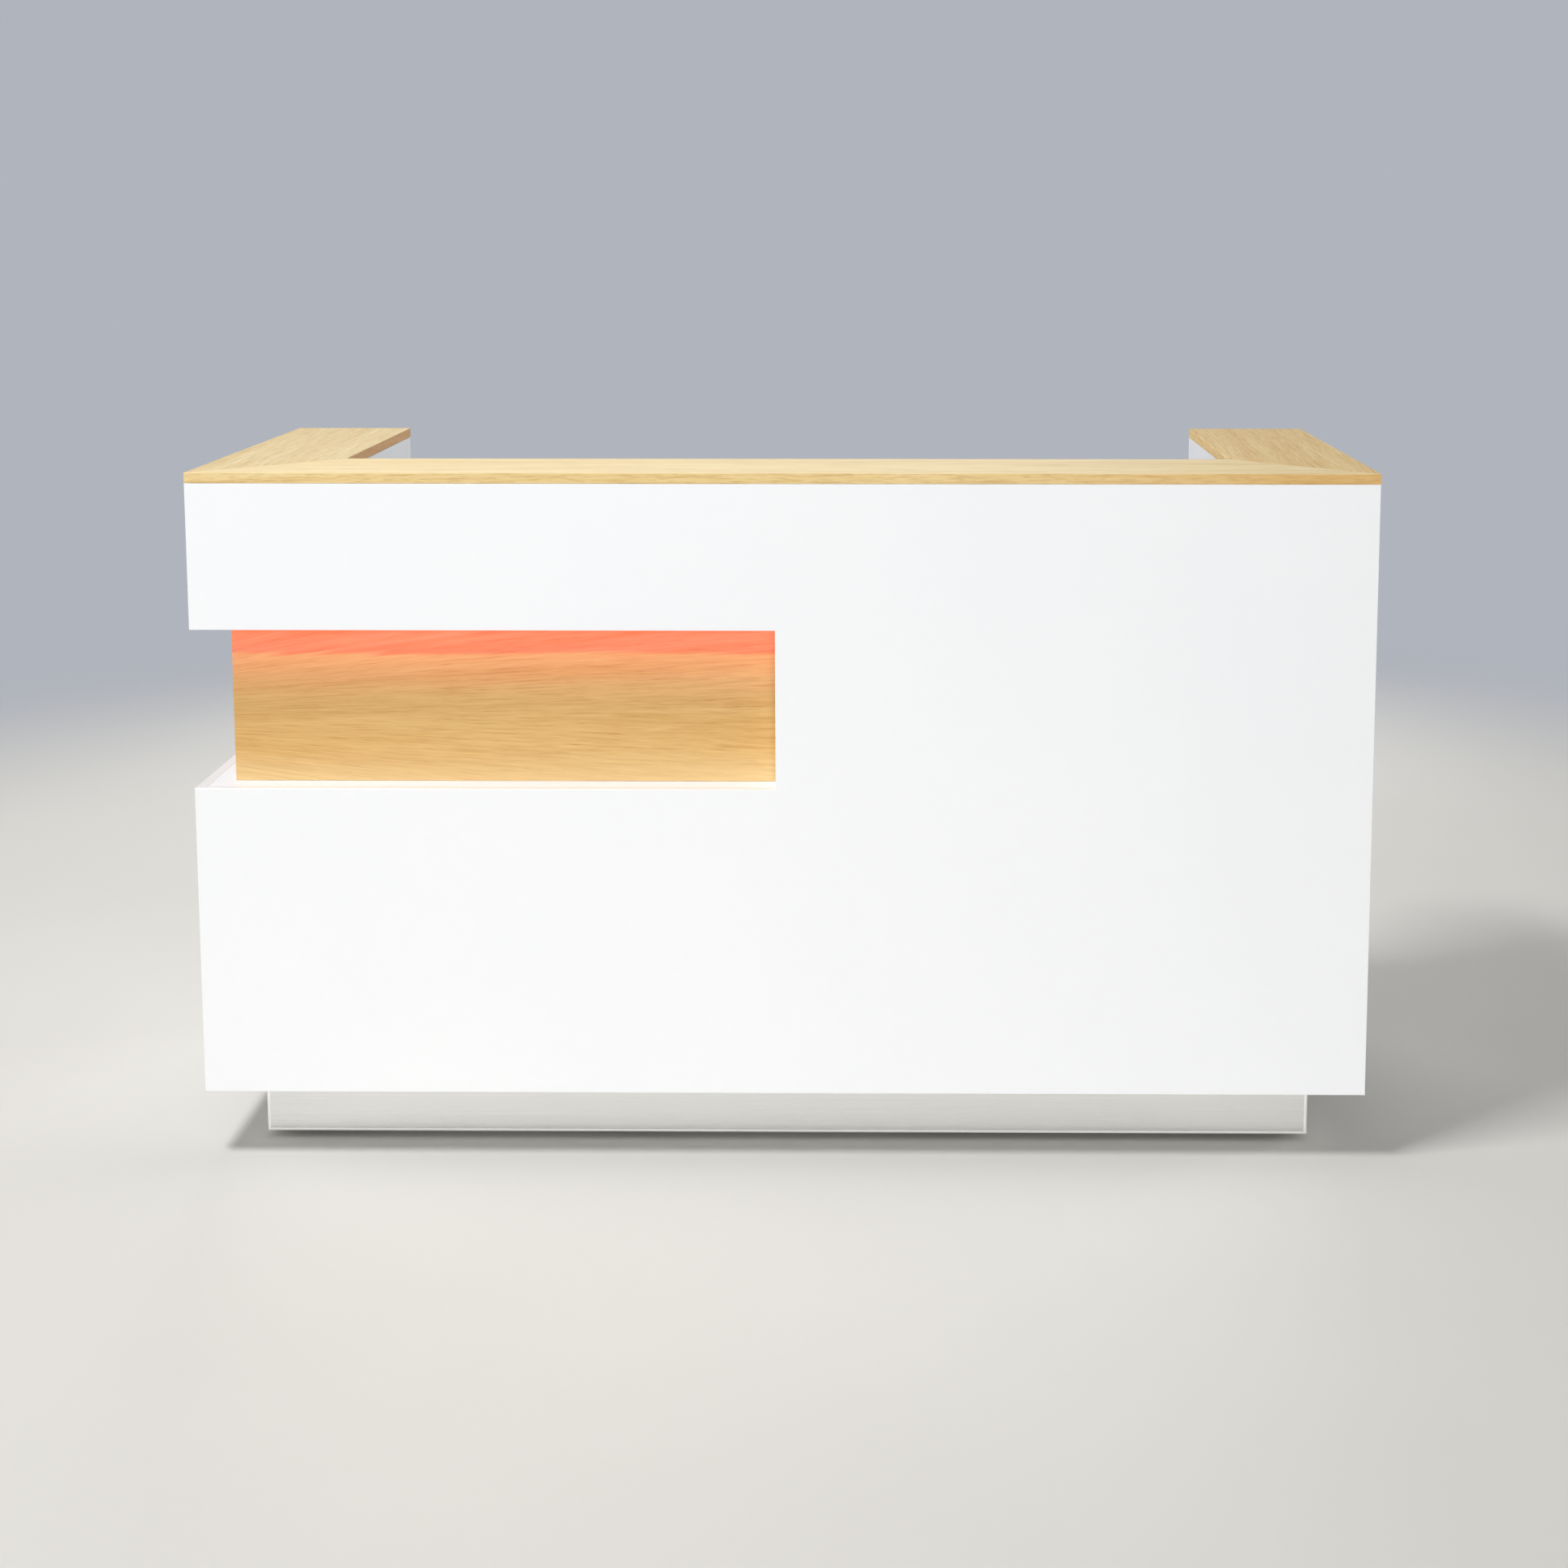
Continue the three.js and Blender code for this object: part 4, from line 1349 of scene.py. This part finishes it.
@dataclass
class Drawer:
    """One drawer with its handle, slides and small fittings."""

    name: str
    finishes: FinishBook
    hangs_files: bool
    screw: ButtonScrew = ButtonScrew()
    slide_screw: ButtonScrew = ButtonScrew(radius=0.0036, height=0.0018)
    handle_bar: float = 0.008
    handle_bend: float = 0.012
    handle_ease: float = 0.0014
    handle_steps: int = 8
    wall: float = 0.012
    screw_inset: float = 0.040
    screw_drop: float = 0.028
    slide_web: float = 0.0012
    slide_stations: tuple[float, ...] = (0.035, 0.22, 0.40)
    rail_gauge: float = 0.0016
    rail_skirt: float = 0.014
    rail_rise: float = 0.016
    rail_setback: float = 0.014
    bumper_radius: float = 0.004
    bumper_height: float = 0.001
    bumper_inset: float = 0.008
    bumper_end: float = 0.03

    def node(self, part: str) -> str:
        """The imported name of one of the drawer's parts."""
        return f"{self.name}_{part}"

    def build(self) -> None:
        """Make the handle, the screws, the bumpers and the file rails."""
        self._bow_handle()
        self._front_screws()
        self._slide_screws()
        self._bumpers()
        if self.hangs_files:
            self._file_rails()

    def _bow_handle(self) -> None:
        """Bend a flat bar into the handle."""
        low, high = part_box(self.node("handle"))
        bar, bend = self.handle_bar, self.handle_bend
        mould = Mould()
        foot = mould.face([
            Vector((low.x, low.y, low.z)),
            Vector((low.x + bar, low.y, low.z)),
            Vector((low.x + bar, low.y, high.z)),
            Vector((low.x, low.y, high.z)),
        ])
        post = AXIS_Y * (high.y - low.y - bend)
        turn = -math.pi / 2
        end = mould.extrude(foot, post)
        left = Vector((low.x + bend, high.y - bend, low.z))
        end = mould.bend(end, left, AXIS_Z, turn, self.handle_steps)
        end = mould.extrude(end, AXIS_X * (high.x - low.x - 2 * bend))
        right = Vector((high.x - bend, high.y - bend, low.z))
        end = mould.bend(end, right, AXIS_Z, turn, self.handle_steps)
        mould.extrude(end, -post)
        mould.soften(self.handle_ease, 3, low.y)
        mould.piece(self.node("bow_handle"), self.finishes.brushed_x, self.name, self.node("handle"))

    def _front_screws(self) -> None:
        """Drive the screws that hold the front and the handle, inside the drawer box."""
        low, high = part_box(self.node("box"))
        grip_low, grip_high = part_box(self.node("handle"))
        inside = high.y - self.wall
        mould = Mould()
        for run in (low.x + self.screw_inset, high.x - self.screw_inset):
            for height in (low.z + self.screw_drop, high.z - self.screw_drop):
                self.screw.drive(mould, Vector((run, inside, height)), -AXIS_Y)
        mould.piece(self.node("front_screws"), self.finishes.zinc, self.name)
        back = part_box(self.node("front"))[0].y
        height = (grip_low.z + grip_high.z) / 2
        if height > high.z:
            mould = Mould()
            half_bar = self.handle_bar / 2
            for run in (grip_low.x + half_bar, grip_high.x - half_bar):
                self.screw.drive(mould, Vector((run, back, height)), -AXIS_Y)
            mould.piece(self.node("handle_screws"), self.finishes.zinc, self.name)

    def _slide_screws(self) -> None:
        """Drive the screws that hold the inner slides to the drawer box."""
        mould = Mould()
        for side in ("left", "right"):
            low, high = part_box(self.node(f"slide_{side}_inner"))
            on_left = side == "left"
            web = high.x - self.slide_web if on_left else low.x + self.slide_web
            out = -AXIS_X if on_left else AXIS_X
            for station in self.slide_stations:
                seat = Vector((web, high.y - station, (low.z + high.z) / 2))
                self.slide_screw.drive(mould, seat, out)
        mould.piece(self.node("slide_screws"), self.finishes.zinc, self.name)

    def _bumpers(self) -> None:
        """Stick the soft bumpers on the back of the front."""
        low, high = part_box(self.node("front"))
        mould = Mould()
        profile = [
            (0.0, 0.0),
            (self.bumper_radius, 0.0),
            (self.bumper_radius * 0.9, self.bumper_height * 0.5),
            (self.bumper_radius * 0.5, self.bumper_height * 0.8),
            (0.0, self.bumper_height * 0.85),
        ]
        for height in (low.z + self.bumper_end, high.z - self.bumper_end):
            mould.turned(profile, Vector((low.x + self.bumper_inset, low.y, height)), -AXIS_Y, 20)
        mould.piece(self.node("bumpers"), self.finishes.grey, self.name)

    def _file_rails(self) -> None:
        """Clip the hanging-file rails over the tops of the drawer's sides."""
        low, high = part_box(self.node("box"))
        start = low.y + self.rail_setback
        run = AXIS_Y * (high.y - self.rail_setback - start)
        gauge, top = self.rail_gauge, high.z
        mould = Mould()
        for outer, inward in ((low.x, 1), (high.x, -1)):
            inner = outer + inward * self.wall
            section = [
                (inner, top - self.rail_skirt),
                (inner + inward * gauge, top - self.rail_skirt),
                (inner + inward * gauge, top + self.rail_rise),
                (inner, top + self.rail_rise),
                (inner, top + gauge),
                (outer, top + gauge),
                (outer, top),
                (inner, top),
            ]
            mould.extrude(mould.face([Vector((across, start, height)) for across, height in section]), run)
        mould.piece(self.node("hanging_rails"), self.finishes.zinc, self.name)

    def dress(self, coat: Any) -> None:
        """Dress the drawer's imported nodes.

        Args:
            coat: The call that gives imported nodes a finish.
        """
        coat(self.finishes.laminate, self.node("front"))
        coat(self.finishes.melamine, self.node("box"))
        for side in ("left", "right"):
            members = [self.node(f"slide_{side}_{member}") for member in ("outer", "middle", "inner")]
            coat(self.finishes.zinc, *members)


@dataclass
class DrawerPedestal(SubAssembly):
    """The pedestal with a box drawer and a file drawer."""

    cap: CoverCap = CoverCap()
    cap_rows: tuple[float, ...] = (0.108, 0.35, 0.62)
    cap_setback: float = 0.05

    @property
    def drawers(self) -> list[Drawer]:
        """The two drawers, from the top."""
        return [Drawer("box_drawer", self.finishes, False), Drawer("file_drawer", self.finishes, True)]

    def build(self) -> None:
        """Make the drawers' fittings and the side's cover caps."""
        for drawer in self.drawers:
            drawer.build()
        low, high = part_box("pedestal_side")
        mould = Mould()
        for height in self.cap_rows:
            for depth in (low.y + self.cap_setback, high.y - self.cap_setback):
                self.cap.press(mould, Vector((low.x, depth, height)), -AXIS_X)
        mould.piece("pedestal_cover_caps", self.finishes.cap_white, BODY_DESK)

    def dress(self) -> None:
        """Dress the carcass and the drawers."""
        self.coat(self.finishes.laminate, "pedestal_side", "pedestal_bottom")
        self.coat(self.finishes.brushed_x, "pedestal_toe")
        for drawer in self.drawers:
            drawer.dress(self.coat)


@dataclass(frozen=True)
class SoftLamp:
    """A soft box on a stand."""

    name: str
    stand: tuple[float, float, float]
    aim: tuple[float, float, float]
    size: tuple[float, float]
    watts: float
    mirrored: bool = True

    def hang(self) -> None:
        """Hang the lamp and turn it to what it lights."""
        light = bpy.data.lights.new(self.name, "AREA")
        light.shape = "RECTANGLE"
        light.size, light.size_y = self.size
        light.energy = self.watts
        lamp = bpy.data.objects.new(self.name, light)
        lamp.location = self.stand
        lamp.visible_glossy = self.mirrored
        lamp.rotation_euler = (Vector(self.aim) - Vector(self.stand)).to_track_quat("-Z", "Y").to_euler()
        bpy.context.scene.collection.objects.link(lamp)


@dataclass
class Studio:
    """The floor, the soft light and the camera."""

    eye: tuple[float, float, float] = (0.1666, -3.9075, 1.506)
    focal_pixels: float = 2888.9
    sensor: float = 36.0
    tilt: float = math.radians(7.0)
    turn: float = math.radians(0.536)
    axis_row: float = 601.2
    axis_column: float = 1070.0
    floor_radius: float = 4.6
    floor_fade: float = 2.4
    floor_tone: Tone = Tone(231, 229, 223)
    floor_vein: Tone = Tone(225, 223, 217)
    backdrop: Tone = Tone(176, 180, 189)
    sky_strength: float = 0.14
    lamps: tuple[SoftLamp, ...] = (
        SoftLamp("overhead_lamp", (-1.9, -1.75, 5.2), (0.0, -0.3, 0.5), (1.6, 0.6), 186.0),
        SoftLamp("visitor_lamp", (0.0, -8.0, 1.45), (0.0, -0.3, 0.6), (4.4, 1.2), 282.0, mirrored=False),
        SoftLamp("staff_lamp", (-0.3, 3.2, 3.0), (0.0, 0.1, 0.7), (2.8, 1.6), 32.0),
        SoftLamp("knee_lamp", (0.0, 3.6, 1.2), (0.0, 0.3, 0.6), (3.0, 0.9), 28.0, mirrored=False),
        SoftLamp("right_lamp", (7.6, 2.4, 1.7), (0.3, 0.1, 0.6), (3.1, 2.5), 134.0),
        SoftLamp("left_lamp", (-5.0, 1.4, 1.3), (-0.3, 0.1, 0.6), (2.0, 1.6), 28.0),
    )

    def set_up(self) -> None:
        """Lay the floor, hang the lamps and stand the camera."""
        scene = bpy.context.scene
        scene.view_settings.view_transform = "Standard"
        self._floor()
        self._sky(scene)
        for lamp in self.lamps:
            lamp.hang()
        self._camera(scene)

    def _floor(self) -> None:
        """Lay a pale round floor that fades into the backdrop."""
        mesh = bmesh.new()
        bmesh.ops.create_circle(mesh, cap_ends=True, radius=self.floor_radius, segments=96)
        data = bpy.data.meshes.new("studio_floor")
        mesh.to_mesh(data)
        mesh.free()
        material = bpy.data.materials.new("studio_floor")
        material.use_nodes = True
        sheet = NodeSheet(material.node_tree)
        place = sheet.place()
        vein = sheet.noise(place, (1.6, 1.6), 4.0)
        across, along, _ = sheet.split(place)
        fade = (across * across + along * along).root().rise(self.floor_fade, self.floor_radius)
        tone = sheet.blend(vein, self.floor_tone, self.floor_vein)
        pale = sheet.socket("ShaderNodeBsdfPrincipled", None, {"Base Color": tone, "Roughness": 0.55})
        clear = sheet.socket("ShaderNodeBsdfTransparent")
        surface = sheet.socket("ShaderNodeMixShader", None, {0: fade, 1: pale, 2: clear})
        sheet.node("ShaderNodeOutputMaterial", None, {"Surface": surface})
        data.materials.append(material)
        floor = bpy.data.objects.new("studio_floor", data)
        bpy.context.scene.collection.objects.link(floor)

    def _sky(self, scene: bpy.types.Scene) -> None:
        """Give the scene an even sky to be lit by, and a plain backdrop to be seen against.

        Args:
            scene: The scene.
        """
        world = bpy.data.worlds.new("studio_sky")
        world.use_nodes = True
        sheet = NodeSheet(world.node_tree)
        path = sheet.node("ShaderNodeLightPath")
        seen = [Signal(sheet, path.outputs[f"Is {ray} Ray"]) for ray in ("Camera", "Glossy", "Transmission")]
        light = sheet.socket(
            "ShaderNodeBackground", None, {"Color": (1.0, 1.0, 1.0, 1.0), "Strength": self.sky_strength}
        )
        plain = sheet.socket("ShaderNodeBackground", None, {"Color": self.backdrop, "Strength": 1.0})
        share = seen[0].most(seen[1]).most(seen[2])
        surface = sheet.socket("ShaderNodeMixShader", None, {0: share, 1: light, 2: plain})
        sheet.node("ShaderNodeOutputWorld", None, {"Surface": surface})
        scene.world = world

    def _camera(self, scene: bpy.types.Scene) -> None:
        """Stand the camera where the photograph was taken from.

        Args:
            scene: The scene.
        """
        lens = bpy.data.cameras.new("visitor_view")
        lens.sensor_width = self.sensor
        lens.lens = self.focal_pixels / PHOTO_WIDTH * self.sensor
        lens.shift_x = 0.5 - self.axis_column / PHOTO_WIDTH
        lens.shift_y = (self.axis_row - PHOTO_HEIGHT / 2) / PHOTO_WIDTH
        camera = bpy.data.objects.new("visitor_view", lens)
        camera.location = self.eye
        camera.rotation_euler = (math.pi / 2 - self.tilt, 0.0, self.turn)
        scene.collection.objects.link(camera)
        scene.camera = camera


def main() -> None:
    """Build and dress the desk and set up the studio, logging each step."""
    logging.basicConfig(level=logging.INFO, format="%(message)s")
    Studio().set_up()
    finishes = FinishBook()
    for kind in (Counter, OuterWalls, StaffLining, LitRecess, ToeBase, StaffWorktop, DrawerPedestal):
        part = kind(finishes)
        part.build()
        part.dress()
        LOG.info("%s is done", kind.__name__)


if __name__ == "__main__":
    main()
